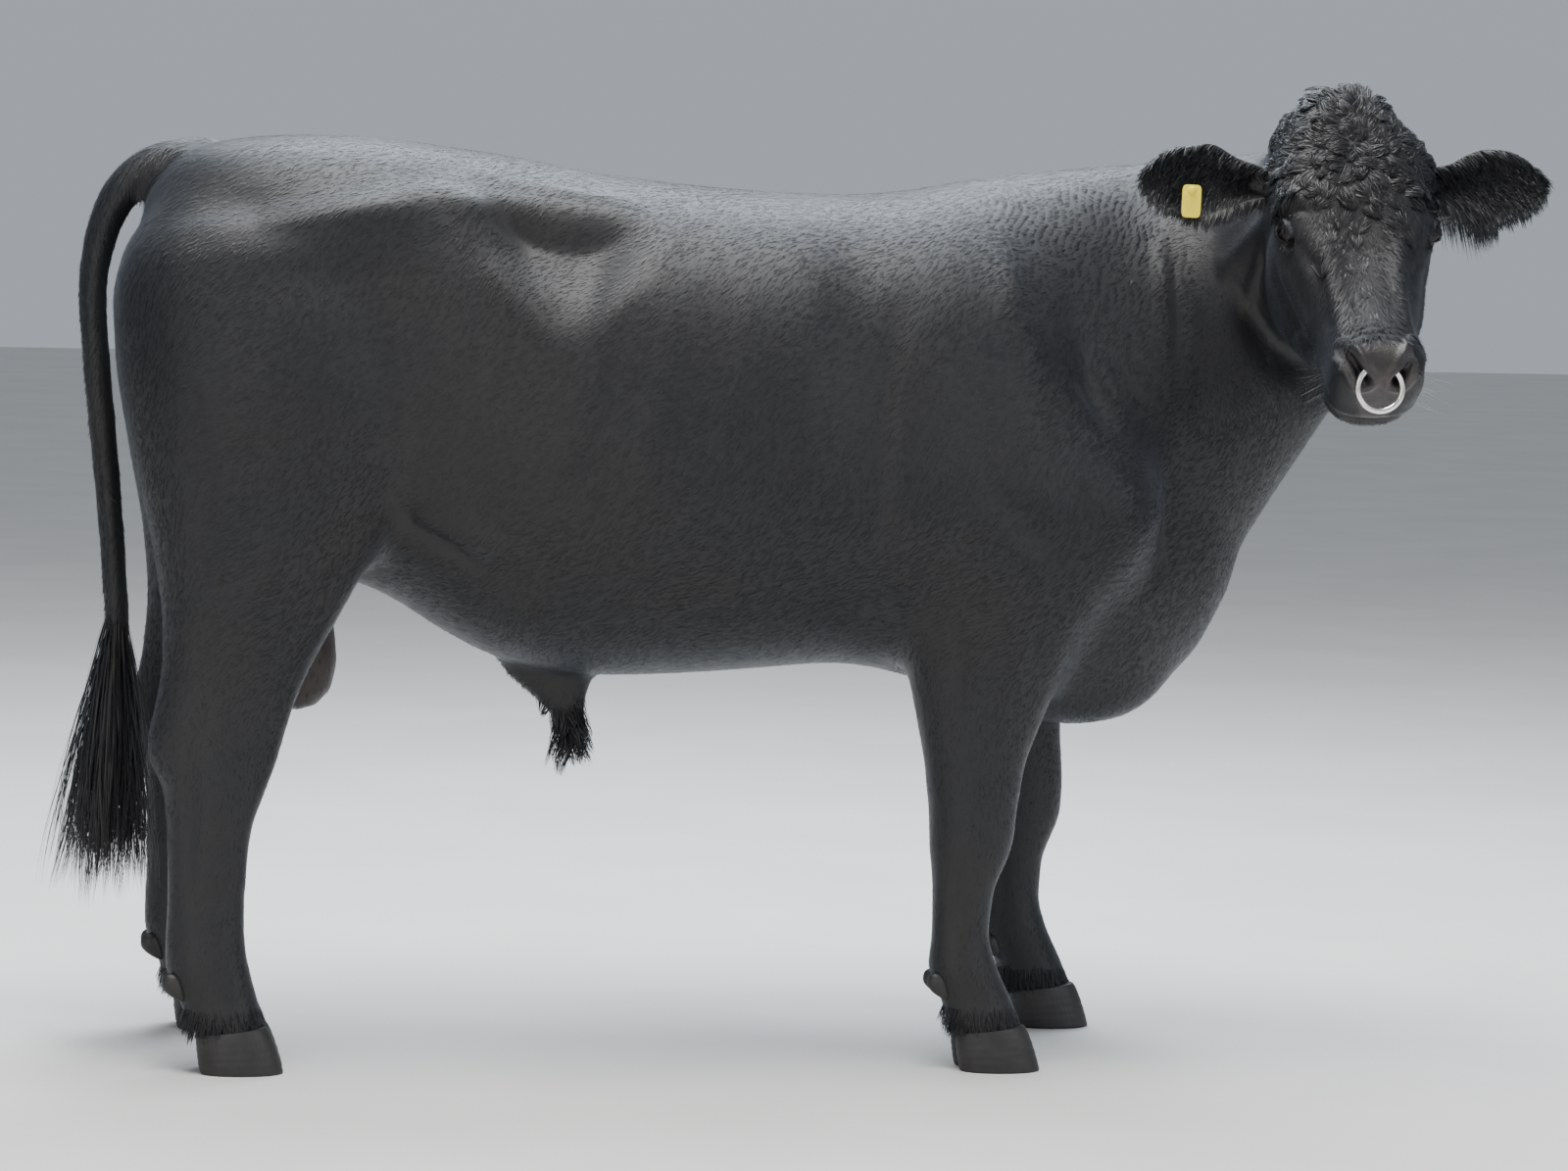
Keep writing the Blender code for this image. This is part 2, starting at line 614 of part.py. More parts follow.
# Relief of the flesh, mirrored unless on the middle line: centre, radii, height along the surface normal
RELIEF = (
    ((-0.615, 0.250, 1.365), (0.060, 0.070, 0.050), 0.034),
    ((-0.860, 0.170, 1.360), (0.150, 0.100, 0.090), 0.012),
    ((-0.410, 0.270, 1.290), (0.125, 0.110, 0.055), -0.040),
    ((-0.520, 0.290, 1.215), (0.060, 0.110, 0.070), -0.022),
    ((-0.570, 0.300, 1.120), (0.055, 0.120, 0.160), 0.014),
    ((-0.590, 0.240, 0.840), (0.110, 0.110, 0.110), 0.020),
    ((-0.440, 0.260, 0.760), (0.100, 0.110, 0.060), -0.012),
    ((0.060, 0.300, 1.020), (0.050, 0.120, 0.220), -0.014),
    ((0.270, 0.240, 1.120), (0.130, 0.120, 0.200), 0.026),
    ((0.500, 0.270, 0.880), (0.090, 0.100, 0.110), 0.026),
    ((0.200, 0.320, 0.860), (0.110, 0.110, 0.110), 0.014),
    ((0.400, 0.280, 0.980), (0.060, 0.100, 0.120), -0.010),
    ((0.600, 0.240, 0.900), (0.040, 0.110, 0.130), -0.014),
    ((-1.000, 0.000, 1.120), (0.100, 0.045, 0.260), -0.034),
    ((0.115, 0.280, 0.680), (0.050, 0.110, 0.060), -0.014),
)


def add_relief(item, bumps, to_local=None):
    """Moves the surface along its normal by a sum of smooth bumps, placed in the frame to_local gives."""
    mesh = item.data
    count = len(mesh.vertices)
    points, normals = np.empty(count * 3), np.empty(count * 3)
    mesh.vertices.foreach_get("co", points)
    mesh.vertices.foreach_get("normal", normals)
    points, normals = points.reshape(-1, 3), normals.reshape(-1, 3)
    height = np.zeros(count)
    places = to_local(points) if to_local else points
    for centre, radii, amount in bumps:
        for side in ((-1, 1) if centre[1] else (1,)):
            place = np.array((centre[0], centre[1] * side, centre[2]))
            height += amount * np.exp(-(((places - place) / np.array(radii)) ** 2).sum(axis=1))
    mesh.vertices.foreach_set("co", (points + normals * height[:, None]).ravel())
    mesh.update()


def region(name, planes, group, grow=0.0):
    """Convex cutter: the part of a large cube on the inner side of each plane (point, outward normal)."""
    bm = bmesh.new()
    bmesh.ops.create_cube(bm, size=6.0)
    for point, normal in planes:
        normal = Vector(normal).normalized()
        whole = bm.verts[:] + bm.edges[:] + bm.faces[:]
        place = Vector(point) + normal * grow
        cut = bmesh.ops.bisect_plane(bm, geom=whole, dist=1e-7, plane_co=place, plane_no=normal,
                                     clear_outer=True)
        edges = [part for part in cut["geom_cut"] if isinstance(part, bmesh.types.BMEdge)]
        bmesh.ops.edgeloop_fill(bm, edges=edges)
    cutter = add_object(name, mesh_from_bmesh(bm, name), group)
    cutter.hide_render = True
    cutter.display_type = "WIRE"
    return cutter


def slice_off(whole, name, planes, group, cutters, material):
    """Takes the part of the flesh inside a region as a node of its own and leaves a thin gap."""
    piece = add_object(name, whole.data.copy(), group, material)
    inner = region(name + "_inside", planes, cutters)
    boolean(piece, inner, "INTERSECT")
    outer = region(name + "_outside", planes, cutters, GAP)
    boolean(whole, outer, "DIFFERENCE")
    keep_largest(whole)
    return keep_largest(piece)


def line_plane(first, second, outward, axis):
    """Plane through two points and along an axis, with its normal towards the outward vector."""
    normal = (Vector(second) - Vector(first)).cross(Vector(axis)).normalized()
    if normal.dot(Vector(outward)) < 0:
        normal = -normal
    return (first, normal)


def leg_planes(which, side):
    if which == "hind":
        inner = line_plane((0, side * 0.300, 1.15), (0, side * 0.030, 0.735), (0, -side, 0.3), (1, 0, 0))
        front = line_plane((-0.730, 0, 1.20), (-0.690, 0, 0.72), (1, 0, 0), (0, 1, 0))
        return (inner, front, ((0, 0, 0), (0, -side, 0)))
    inner = line_plane((0, side * 0.330, 0.930), (0, side * 0.090, 0.580), (0, -side, 0.3), (1, 0, 0))
    reach = 0.475 if side < 0 else 0.575
    rear = line_plane((0.125, 0, 1.10), (0.125, 0, 0.60), (-1, 0, 0), (0, 1, 0))
    front = line_plane((reach, 0, 1.02), (reach, 0, 0.50), (1, 0, 0), (0, 1, 0))
    return (inner, rear, front, ((0, 0, 0), (0, -side, 0)))


NECK_PLANE = ((0.435, 0.0, 1.40), (-1.0, 0.0, -0.02))


def head_planes():
    """Behind the poll and the jaw angle, with wide sides that pass clear of the body."""
    behind = (on_head((0, 0.10, -0.035)), -(HEAD_TURN @ Vector((0.0, 0.14, 1.0)).normalized()))
    below = (on_head((0, -0.335, 0.10)), HEAD_TURN @ Vector((0.0, -1.0, -0.30)))
    sides = [(on_head((side * 0.172, 0.05, 0)), HEAD_TURN @ Vector((side, -0.17, 0.0))) for side in (-1, 1)]
    return [behind, below] + sides


def grown(item, amount, cutters):
    """Copy of a solid with its surface moved out by a small amount, to trim what meets it."""
    copy = add_object(item.name + "_grown", item.data.copy(), cutters)
    mesh = copy.data
    count = len(mesh.vertices)
    points, normals = np.empty(count * 3), np.empty(count * 3)
    mesh.vertices.foreach_get("co", points)
    mesh.vertices.foreach_get("normal", normals)
    mesh.vertices.foreach_set("co", points + normals * amount)
    mesh.update()
    return copy


def trim_by(item, others, cutters):
    """Cuts a piece clear of the solids it grows from, face to face with a thin gap."""
    for other in others:
        boolean(item, grown(other, GAP * 1.4, cutters), "DIFFERENCE")
    return keep_largest(item)


def make_claw(name, toe_x, foot_y, outward, group, material):
    """One claw: a curved wedge, flat on the ground and towards its twin, rounded outside and at the toe."""
    rings = []
    for level, share in ((0.0, 1.0), (0.5, 0.96), (1.0, 0.87)):
        ring = []
        for k in range(14):
            angle = 2 * math.pi * k / 14
            back = CLAW_SLOPE * level
            x = toe_x - CLAW_LENGTH / 2 - back + squared(math.cos(angle), 0.85) * CLAW_LENGTH * share / 2
            along = (x - toe_x + CLAW_LENGTH) / CLAW_LENGTH
            height = CLAW_HEEL_HEIGHT + (CLAW_TOE_HEIGHT - CLAW_HEEL_HEIGHT) * along
            across = max(math.sin(angle), CLAW_INNER_FLAT)
            reach = CLAW_WIDTH / (1 - CLAW_INNER_FLAT)
            y = CLAW_SPLIT / 2 + reach * (across * share - CLAW_INNER_FLAT)
            ring.append(Vector((x, foot_y + y * outward, level * height)))
        rings.append(ring)
    return loft(name, rings, group, material)


def make_feet(bull, cutters, legs, horn):
    for which, toe_x, shift in (("hind", HIND_TOE_X, LEFT_HIND_SHIFT), ("fore", FORE_TOE_X, LEFT_FORE_SHIFT)):
        for side, word in ((-1, "right"), (1, "left")):
            leg = legs[which + "_" + word]
            step = value_at(shift, 0.0) if side > 0 else 0.0
            foot = which + "_" + word
            toe_top = (toe_x + step, 0, CLAW_TOE_HEIGHT + GAP)
            heel_top = (toe_x + step - CLAW_LENGTH, 0, CLAW_HEEL_HEIGHT + GAP)
            plane = line_plane(toe_top, heel_top, (0, 0, -1), (0, 1, 0))
            boolean(leg, region("coronet", (plane,), cutters), "INTERSECT")
            keep_largest(leg)
            for outward, place in ((side, "outer"), (-side, "inner")):
                make_claw("claw_" + foot + "_" + place, toe_x + step, side * FOOT_Y, outward, bull, horn)
                rear = toe_x + step + DEWCLAW_BACK[which]
                centre = (rear, side * FOOT_Y + outward * DEWCLAW_SPREAD, DEWCLAW_HEIGHT)
                turn = Matrix.Rotation(math.radians(-35.0), 3, "Y")
                item = ellipsoid("dewclaw_" + foot + "_" + place, centre, DEWCLAW_SIZE, bull, turn, 7, 5)
                item.data.materials.append(horn)
                trim_by(item, (leg,), cutters)


def make_tail(bull, cutters, flesh, coat, hair):
    tail = tube("tail", TAIL_PATH, TAIL_RADII, bull, coat, 1, True, 2)
    boolean(tail, region("tail_end", (((0, 0, TAIL_END_Z + GAP), (0, 0, -1)),), cutters), "INTERSECT")
    trim_by(tail, flesh, cutters)
    make_switch(bull, hair)


def make_switch(bull, hair):
    """A short core with tiers of long locks that hang from it and over one another."""
    scratch = bpy.data.collections["pieces"]
    draw = random.Random(SEED)
    rings = []
    for height, x, half_x, half_y in SWITCH_CORE:
        centre = (x, SWITCH_Y, height)
        rings.append(ring_points(centre, (0, 1, 0), (1, 0, 0), half_y, half_x, half_x, 2.0, 2.0, 10))
    switch = loft("tail_switch", rings, bull, hair)
    for tier, (height, count, length, spread) in enumerate(SWITCH_TIERS):
        for k in range(count):
            angle = 2 * math.pi * (k + 0.5 * (tier % 2) + draw.uniform(-0.15, 0.15)) / count
            out = Vector((math.cos(angle), math.sin(angle), 0.0))
            root = Vector((SWITCH_CORE[1][1], SWITCH_Y, height)) + out * 0.012
            reach = length * draw.uniform(0.88, 1.0)
            along = Vector((0, 0, -1)) + out * (spread + 0.020) / reach
            bend = out * draw.uniform(-0.022, -0.006) + Vector((SWITCH_LEAN * draw.uniform(0.5, 1.2), 0, 0))
            lock("switch_lock", root, along, out, reach, SWITCH_LOCK, bend, scratch)
    return fuse(switch, scratch)


def make_sheath(bull, cutters, flesh, coat):
    rings = []
    for height, x, half_x, half_y in SHEATH_STATIONS:
        rings.append(ring_points((x, 0, height), (0, 1, 0), (1, 0, 0), half_y, half_x, half_x, 2.0, 2.0, 12))
    sheath = loft("sheath", rings, bull, coat)
    scratch = bpy.data.collections["pieces"]
    draw = random.Random(SEED + 1)
    height, x, half_x = SHEATH_STATIONS[-2][:3]
    for k in range(SHEATH_LOCKS):
        angle = 2 * math.pi * k / SHEATH_LOCKS
        out = Vector((math.cos(angle), math.sin(angle), 0.0))
        root = Vector((x, 0, height + 0.016)) + out * half_x * 0.35
        bend = out * draw.uniform(-0.026, -0.004)
        length = SHEATH_LOCK_LENGTH * draw.uniform(0.72, 1.0)
        lock("sheath_lock", root, out * 0.42 - Vector((0, 0, 1)), out, length, SHEATH_LOCK, bend, scratch)
    fuse(sheath, scratch)
    return trim_by(sheath, flesh, cutters)


def make_scrotum(bull, cutters, flesh, skin):
    rings = []
    for height, x, half_x, half_y in SCROTUM_STATIONS:
        rings.append(ring_points((x, 0, height), (0, 1, 0), (1, 0, 0), half_y, half_x, half_x, 2.0, 2.0, 14))
    scrotum = loft("scrotum", rings, bull, skin)
    return trim_by(scrotum, flesh, cutters)


def surface_hit(tree, start, towards):
    hit = tree.ray_cast(Vector(start), (Vector(towards) - Vector(start)).normalized())
    return hit[0]


def eye_frame(side, outward):
    """Outward, corner to corner and brow axes of an eye, in the head's frame."""
    corner = Vector((-side * 0.40, -0.15, 0.90))
    corner = (corner - outward * corner.dot(outward)).normalized()
    brow = corner.cross(outward) * side
    if brow.y < 0:
        brow = -brow
    return outward, corner, brow


def make_eyes(bull, cutters, scratch, head, eye):
    tree = BVHTree.FromObject(head, bpy.context.evaluated_depsgraph_get())
    centres = {}
    for side in (-1, 1):
        near = Vector(mirrored(EYE_AT, side))
        facing = Vector(mirrored(EYE_FACING, side)).normalized()
        surface, normal = tree.ray_cast(on_head(near + facing * 0.1), -(HEAD_TURN @ facing))[:2]
        outward, corner, brow = eye_frame(side, (facing + HEAD_TURN.inverted() @ normal).normalized())
        centre = surface - (HEAD_TURN @ outward) * (EYE_RADIUS - EYE_PROUD)
        centres[side] = centre
        lids = (("upper", LID_UPPER, LID_THICKNESS), ("lower", -LID_LOWER, LID_THICKNESS * 0.8))
        for lid, height, thick in lids:
            points, radii = [], []
            for k in range(9):
                angle = math.pi * k / 8
                flat = corner * math.cos(angle) * EYE_HALF_LENGTH + brow * math.sin(angle) * height
                out = math.sqrt(max(0.0, EYE_RADIUS**2 - flat.length_squared))
                start = centre + HEAD_TURN @ (flat + outward * EYE_RADIUS * 2)
                hit = surface_hit(tree, start, start - HEAD_TURN @ outward)
                skin = (hit - centre).dot(HEAD_TURN @ outward)
                points.append(centre + HEAD_TURN @ (flat + outward * (max(out, skin) - LID_SINK)))
                radii.append(thick * (0.45 + 0.55 * math.sin(angle)))
            tube("lid_" + lid, points, radii, scratch, None, 1, False)
    fuse(head, scratch)
    for side, word in ((-1, "right"), (1, "left")):
        hollow = (EYE_RADIUS + 2 * GAP,) * 3
        socket = ellipsoid("socket_" + word, centres[side], hollow, cutters, HEAD_TURN, 14, 8)
        boolean(head, socket, "DIFFERENCE")
        ball = ellipsoid("eye_" + word, centres[side], (EYE_RADIUS,) * 3, bull, HEAD_TURN, 14, 8)
        ball.data.materials.append(eye)
    keep_largest(head)


def ring_centre():
    return on_head(RING_HOLE_AT) - Vector((0, 0, (RING_OUTER - RING_ROD) / 2))


def torus(name, centre, turn, major, minor, group, material=None, around=24, across=8):
    """Round ring whose axis is the third column of its turn."""
    bm = bmesh.new()
    rows = []
    for k in range(around):
        angle = 2 * math.pi * k / around
        rows.append([])
        for n in range(across):
            tilt = 2 * math.pi * n / across
            reach = major + minor * math.cos(tilt)
            point = Vector((math.cos(angle) * reach, math.sin(angle) * reach, minor * math.sin(tilt)))
            rows[-1].append(bm.verts.new(Vector(centre) + turn @ point))
    for k in range(around):
        for n in range(across):
            here, there = rows[k], rows[(k + 1) % around]
            bm.faces.new((here[n], there[n], there[(n + 1) % across], here[(n + 1) % across]))
    return add_object(name, mesh_from_bmesh(bm, name), group, material)


def ring_turn():
    """The ring hangs upright, facing the way the nose points."""
    across = HEAD_TURN @ Vector((1, 0, 0))
    across = Vector((across.x, across.y, 0)).normalized()
    up = Vector((0, 0, 1))
    return Matrix((across, up, across.cross(up))).transposed()


def make_muzzle(bull, cutters, head, metal):
    """Nostrils, line of the mouth and the ring through the wall between the nostrils."""
    for side in (-1, 1):
        pit = tube("nostril", [on_head(mirrored(p, side)) for p in NOSTRIL_PATH], NOSTRIL_RADII, cutters)
        boolean(head, pit, "DIFFERENCE")
    tree = BVHTree.FromObject(head, bpy.context.evaluated_depsgraph_get())
    points = []
    for k in range(MOUTH_POINTS):
        turn = math.radians(-MOUTH_SWEEP + 2 * MOUTH_SWEEP * k / (MOUTH_POINTS - 1))
        drop = MOUTH_AT[1] + MOUTH_RISE * (turn / math.radians(MOUTH_SWEEP)) ** 2
        inside = Vector((0, drop, MOUTH_AT[2]))
        outside = inside + Vector((math.sin(turn) * 0.3, 0, math.cos(turn) * 0.3))
        points.append(surface_hit(tree, on_head(outside), on_head(inside)))
    radii = [MOUTH_DEPTH * (0.5 if k in (0, MOUTH_POINTS - 1) else 1.0) for k in range(MOUTH_POINTS)]
    boolean(head, tube("mouth_line", points, radii, cutters, None, 1), "DIFFERENCE")
    major = (RING_OUTER - RING_ROD) / 2
    tunnel = torus("ring_tunnel", ring_centre(), ring_turn(), major, RING_ROD / 2 + 2 * GAP, cutters)
    boolean(head, tunnel, "DIFFERENCE")
    keep_largest(head)
    torus("nose_ring", ring_centre(), ring_turn(), major, RING_ROD / 2, bull, metal)


def ear_frame(side):
    """Along the ear, across it (upward) and out of its hollow side, in the head's frame."""
    pitch = math.radians(HEAD_PITCH)
    upright = Vector((0, math.cos(pitch), -math.sin(pitch)))
    ahead = Vector((0, math.sin(pitch), math.cos(pitch)))
    along = (Vector((side, 0, 0)) + upright * EAR_RISE[side] + ahead * EAR_FORWARD).normalized()
    hollow = (ahead - along * ahead.dot(along)).normalized()
    across = hollow.cross(along)
    if across.dot(upright) < 0:
        across = -across
    return along, across, hollow


def ear_half_width(t):
    """Half width along the ear: a narrow root, widest past the middle, a rounded point."""
    return EAR_WIDTH / 2 * value_at(EAR_OUTLINE, t)


def ear_point(t, v, side):
    along, across, hollow = ear_frame(side)
    half = ear_half_width(t)
    cup = EAR_CUP * value_at(((0.0, 1.25), (0.4, 1.0), (1.0, 0.35)), t)
    bend = EAR_BACK * t * t
    place = Vector(mirrored(EAR_ROOT, side)) + along * EAR_LENGTH * t + across * half * v * (1 - 0.18 * v * v)
    return place + hollow * (cup * v * v - bend)


def make_ear(side, word, bull, cutters, head, coat):
    bm = bmesh.new()
    rows = []
    for i in range(EAR_ROWS + 1):
        t = i / EAR_ROWS
        spots = [ear_point(t, -1 + 2 * j / EAR_COLUMNS, side) for j in range(EAR_COLUMNS + 1)]
        rows.append([bm.verts.new(on_head(spot)) for spot in spots])
    for i in range(EAR_ROWS):
        for j in range(EAR_COLUMNS):
            a, b, c, d = rows[i][j], rows[i + 1][j], rows[i + 1][j + 1], rows[i][j + 1]
            bm.faces.new((a, b, c))
            bm.faces.new((a, c, d))
    ear = add_object("ear_" + word, mesh_from_bmesh(bm, "ear_" + word), bull, coat)
    thick = ear.modifiers.new("thickness", "SOLIDIFY")
    thick.thickness = EAR_THICKNESS
    thick.offset = 0.0
    apply_modifiers(ear)
    scratch = bpy.data.collections["pieces"]
    root = Vector(mirrored(EAR_ROOT, side))
    along, across, hollow = ear_frame(side)
    path = (root - along * 0.045 - hollow * 0.004, root, root + along * 0.035 - hollow * 0.002)
    tube("ear_root", [on_head(place) for place in path], EAR_ROOT_RADII, scratch, None, 2, False)
    draw = random.Random(SEED + 2 + side)
    for t, full_length in FRINGE:
        length = full_length * FRINGE_SHARE[side]
        edge = on_head(ear_point(t, -0.90, side))
        down = HEAD_TURN @ (-across - hollow * 0.25 + along * draw.uniform(-0.05, 0.35))
        bend = Vector((0, 0, -0.30 * length)) - HEAD_TURN @ hollow * draw.uniform(0.05, 0.20) * length
        lock("fringe_lock", edge, down, HEAD_TURN @ hollow, length, FRINGE_LOCK, bend, scratch)
    return fuse(ear, scratch)


def make_curls(head, cutters):
    """Rounded curls set close over the forehead and poll, lying away from a swirl on the brow."""
    scratch = bpy.data.collections["pieces"]
    tree = BVHTree.FromObject(head, bpy.context.evaluated_depsgraph_get())
    draw = random.Random(SEED + 5)
    for row, (nose, half) in enumerate(CURL_ROWS):
        count = max(1, round(2 * half / CURL_SPACING))
        shift = 0.5 * (row % 2)
        for k in range(count + 1 - row % 2):
            left = -half + 2 * half * (k + shift) / count + draw.uniform(-0.004, 0.004)
            ahead = nose + draw.uniform(-0.005, 0.005)
            lean = Vector((left * 1.4, 0.3, min(0.0, ahead) * 2.0))
            spot, normal = tree.ray_cast(on_head(Vector((left, 0.06, ahead)) + lean * 0.5),
                                         -(HEAD_TURN @ lean.normalized()))[:2]
            lie = HEAD_TURN @ Vector((left + draw.uniform(-0.02, 0.02), 0.0, ahead - SWIRL_AT))
            lie = (lie - normal * lie.dot(normal)).normalized()
            turn = Matrix((lie, normal.cross(lie), normal)).transposed()
            size = [part * draw.uniform(0.88, 1.12) for part in CURL_SIZE]
            ellipsoid("curl", spot - normal * CURL_SINK, size, scratch, turn, 7, 4)
    fuse(head, scratch)
    boolean(head, region("curls_inside", head_planes(), cutters), "INTERSECT")
    return keep_largest(head)


def make_tag(bull, cutters, ear, yellow):
    """Blank two-piece tag: a plate before the ear, a pin through it and a button behind."""
    scratch = bpy.data.collections["pieces"]
    side = -1
    along, across, hollow = ear_frame(side)
    pin = ear_point(TAG_PLACE[0], TAG_PLACE[1], side)
    axis = HEAD_TURN @ hollow
    front, back = on_head(pin) + axis * TAG_STANDOFF, on_head(pin) - axis * TAG_BACK
    ends = (back - axis * 0.004, front + axis * 0.004)
    hole = tube("pin_hole", ends, (TAG_PIN + GAP * 2,) * 2, cutters, None, 2, False)
    boolean(ear, hole, "DIFFERENCE")
    turn = Matrix((HEAD_TURN @ along, HEAD_TURN @ across, axis)).transposed()
    bm = bmesh.new()
    bmesh.ops.create_cube(bm, size=1.0)
    drop = Vector((0, -TAG_SIZE[1] / 2 + 0.008, 0))
    place = Matrix.Translation(front + turn @ drop) @ turn.to_4x4() @ Matrix.Diagonal((*TAG_SIZE, 1.0))
    bmesh.ops.transform(bm, matrix=place, verts=bm.verts)
    tag = add_object("ear_tag", mesh_from_bmesh(bm, "ear_tag"), bull, yellow)
    tube("tag_pin", (back, front + axis * 0.003), (TAG_PIN,) * 2, scratch, None, 2, False)
    tube("tag_stud", (front, front + axis * 0.004), (TAG_PIN * 1.7,) * 2, scratch, None, 2, False)
    ends = (back - axis * 0.0015, back + axis * 0.0015)
    tube("tag_button", ends, (TAG_BUTTON,) * 2, scratch, None, 3, False)
    return fuse(tag, scratch)


def build():
    clear_scene()
    bull = make_collection("black_angus_bull")
    cutters = make_collection("cutters")
    scratch = make_collection("pieces")
    coat = make_material("black_coat", COAT_COLOUR, 0.55)
    hair = make_material("long_hair", COAT_COLOUR, 0.6)
    horn = make_material("hoof_horn", HORN_COLOUR, 0.5)
    eye = make_material("eye", EYE_COLOUR, 0.08)
    skin = make_material("bare_skin", SKIN_COLOUR, 0.5)
    metal = make_material("ring_metal", METAL_COLOUR, 0.25, 1.0)
    yellow = make_material("tag_plastic", TAG_COLOUR, 0.4)

    shapes = [trunk_shape(scratch), neck_shape(scratch)] + brisket_shapes(scratch) + head_shapes(scratch)
    for side, word in ((-1, "right"), (1, "left")):
        shapes.append(leg_shape("hind_" + word, HIND_LEG, side, LEFT_HIND_SHIFT, scratch))
        shapes.append(leg_shape("fore_" + word, FORE_LEG, side, LEFT_FORE_SHIFT, scratch))
    torso = join_shapes("torso", shapes, bull)
    remesh(torso, BODY_VOXEL)
    relax(torso, TRUNK_PASSES, trunk_weight)
    add_relief(torso, RELIEF)
    decimate(torso, TRUNK_TRIANGLES)
    torso.data.materials.append(coat)

    head = join_shapes("head", head_shapes(scratch) + [neck_shape(scratch)], bull)
    remesh(head, HEAD_VOXEL)
    relax(head, HEAD_PASSES, head_weight)
    add_relief(head, HEAD_RELIEF, from_head)
    decimate(head, HEAD_TRIANGLES)
    head.data.materials.append(coat)
    boolean(head, region("head_inside", head_planes(), cutters), "INTERSECT")
    keep_largest(head)
    boolean(torso, region("head_outside", head_planes(), cutters, GAP), "DIFFERENCE")

    legs = {}
    for side, word in ((-1, "right"), (1, "left")):
        for which in ("hind", "fore"):
            name = which + "_" + word
            legs[name] = slice_off(torso, "leg_" + name, leg_planes(which, side), bull, cutters, coat)
    slice_off(torso, "neck", (NECK_PLANE,), bull, cutters, coat)
    make_feet(bull, cutters, legs, horn)
    rear = [torso, legs["hind_right"], legs["hind_left"]]
    make_tail(bull, cutters, rear, coat, hair)
    make_sheath(bull, cutters, [torso], coat)
    make_scrotum(bull, cutters, rear, skin)
    ears = {}
    for side, word in ((-1, "right"), (1, "left")):
        ears[word] = make_ear(side, word, bull, cutters, head, coat)
        trim_by(ears[word], [head], cutters)
    make_tag(bull, cutters, ears["right"], yellow)
    make_curls(head, cutters)
    make_eyes(bull, cutters, scratch, head, eye)
    make_muzzle(bull, cutters, head, metal)
    for item in bull.objects:
        item.data.transform(Matrix.Translation((-BOX_CENTRE_X, -BOX_CENTRE_Y, 0)))
    empty_collection(cutters)


build()
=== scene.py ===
"""Looks of the black Angus bull: skin, coat, eyes, hooves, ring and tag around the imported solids."""
import math

import bmesh
import bpy
import numpy as np
from mathutils import Matrix, Vector
from mathutils.bvhtree import BVHTree
from mathutils.kdtree import KDTree


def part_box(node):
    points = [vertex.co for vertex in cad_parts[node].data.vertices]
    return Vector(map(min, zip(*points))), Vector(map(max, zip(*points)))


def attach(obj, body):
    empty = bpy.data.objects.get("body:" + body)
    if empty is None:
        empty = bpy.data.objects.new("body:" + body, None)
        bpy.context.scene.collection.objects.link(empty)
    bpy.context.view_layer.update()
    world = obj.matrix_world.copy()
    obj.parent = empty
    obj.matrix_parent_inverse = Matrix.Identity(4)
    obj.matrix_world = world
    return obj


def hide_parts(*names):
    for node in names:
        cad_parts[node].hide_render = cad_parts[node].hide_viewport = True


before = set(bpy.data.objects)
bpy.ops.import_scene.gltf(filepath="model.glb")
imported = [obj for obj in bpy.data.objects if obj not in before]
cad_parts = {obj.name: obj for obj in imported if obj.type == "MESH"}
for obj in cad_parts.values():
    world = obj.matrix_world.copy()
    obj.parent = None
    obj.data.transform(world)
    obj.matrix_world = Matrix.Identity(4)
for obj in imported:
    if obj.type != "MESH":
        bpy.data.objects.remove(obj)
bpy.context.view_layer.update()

# The body is laid out from the middle of the barrel, and every piece is then moved to the row frame
BOX_CENTRE = Vector((0.0045, -0.0958, 0.0))

# Camera, laid out with the body
CAMERA_AT = (-1.002, -7.130, 1.35)
CAMERA_TARGET = (0.0, 0.0, 0.735)
CAMERA_LENS = 105.0
CAMERA_ROLL = 1.3
FLOOR_SIZE = 60.0
FLOOR_AT = -0.0005


def add_object(name, mesh, group=None, material=None):
    item = bpy.data.objects.new(name, mesh)
    (group or bpy.context.scene.collection).objects.link(item)
    if material is not None:
        mesh.materials.clear()
        mesh.materials.append(material)
    return item


# Trunk: height of the back and of the belly along X, half width, height of the widest place
BACK_LINE = ((-1.02, 1.335), (-0.96, 1.402), (-0.88, 1.422), (-0.71, 1.431), (-0.50, 1.412), (-0.26, 1.376),
             (-0.10, 1.362), (0.08, 1.357), (0.30, 1.384), (0.45, 1.400), (0.56, 1.36), (0.66, 1.20),
              (0.72, 1.00))
BELLY_LINE = ((-1.02, 1.02), (-0.96, 0.88), (-0.88, 0.80), (-0.78, 0.752), (-0.66, 0.725), (-0.54, 0.655),
              (-0.43, 0.605), (-0.29, 0.588), (-0.09, 0.598), (0.08, 0.612), (0.22, 0.585), (0.36, 0.535),
              (0.46, 0.512), (0.55, 0.530), (0.63, 0.600), (0.69, 0.665), (0.72, 0.74))
HALF_WIDTH = ((-1.02, 0.11), (-0.96, 0.175), (-0.88, 0.225), (-0.76, 0.262), (-0.62, 0.285), (-0.43, 0.322),
              (-0.25, 0.352), (-0.05, 0.362), (0.12, 0.345), (0.30, 0.305), (0.45, 0.262), (0.58, 0.212),
              (0.66, 0.162), (0.72, 0.095))
WIDEST_HEIGHT = ((-1.02, 1.20), (-0.88, 1.20), (-0.65, 1.13), (-0.40, 0.99), (0.0, 0.95), (0.45, 0.90),
                 (0.72, 0.86))
BACK_SQUARENESS = ((-1.02, 2.2), (-0.70, 2.7), (-0.35, 2.6), (0.10, 2.35), (0.35, 2.0), (0.72, 2.0))
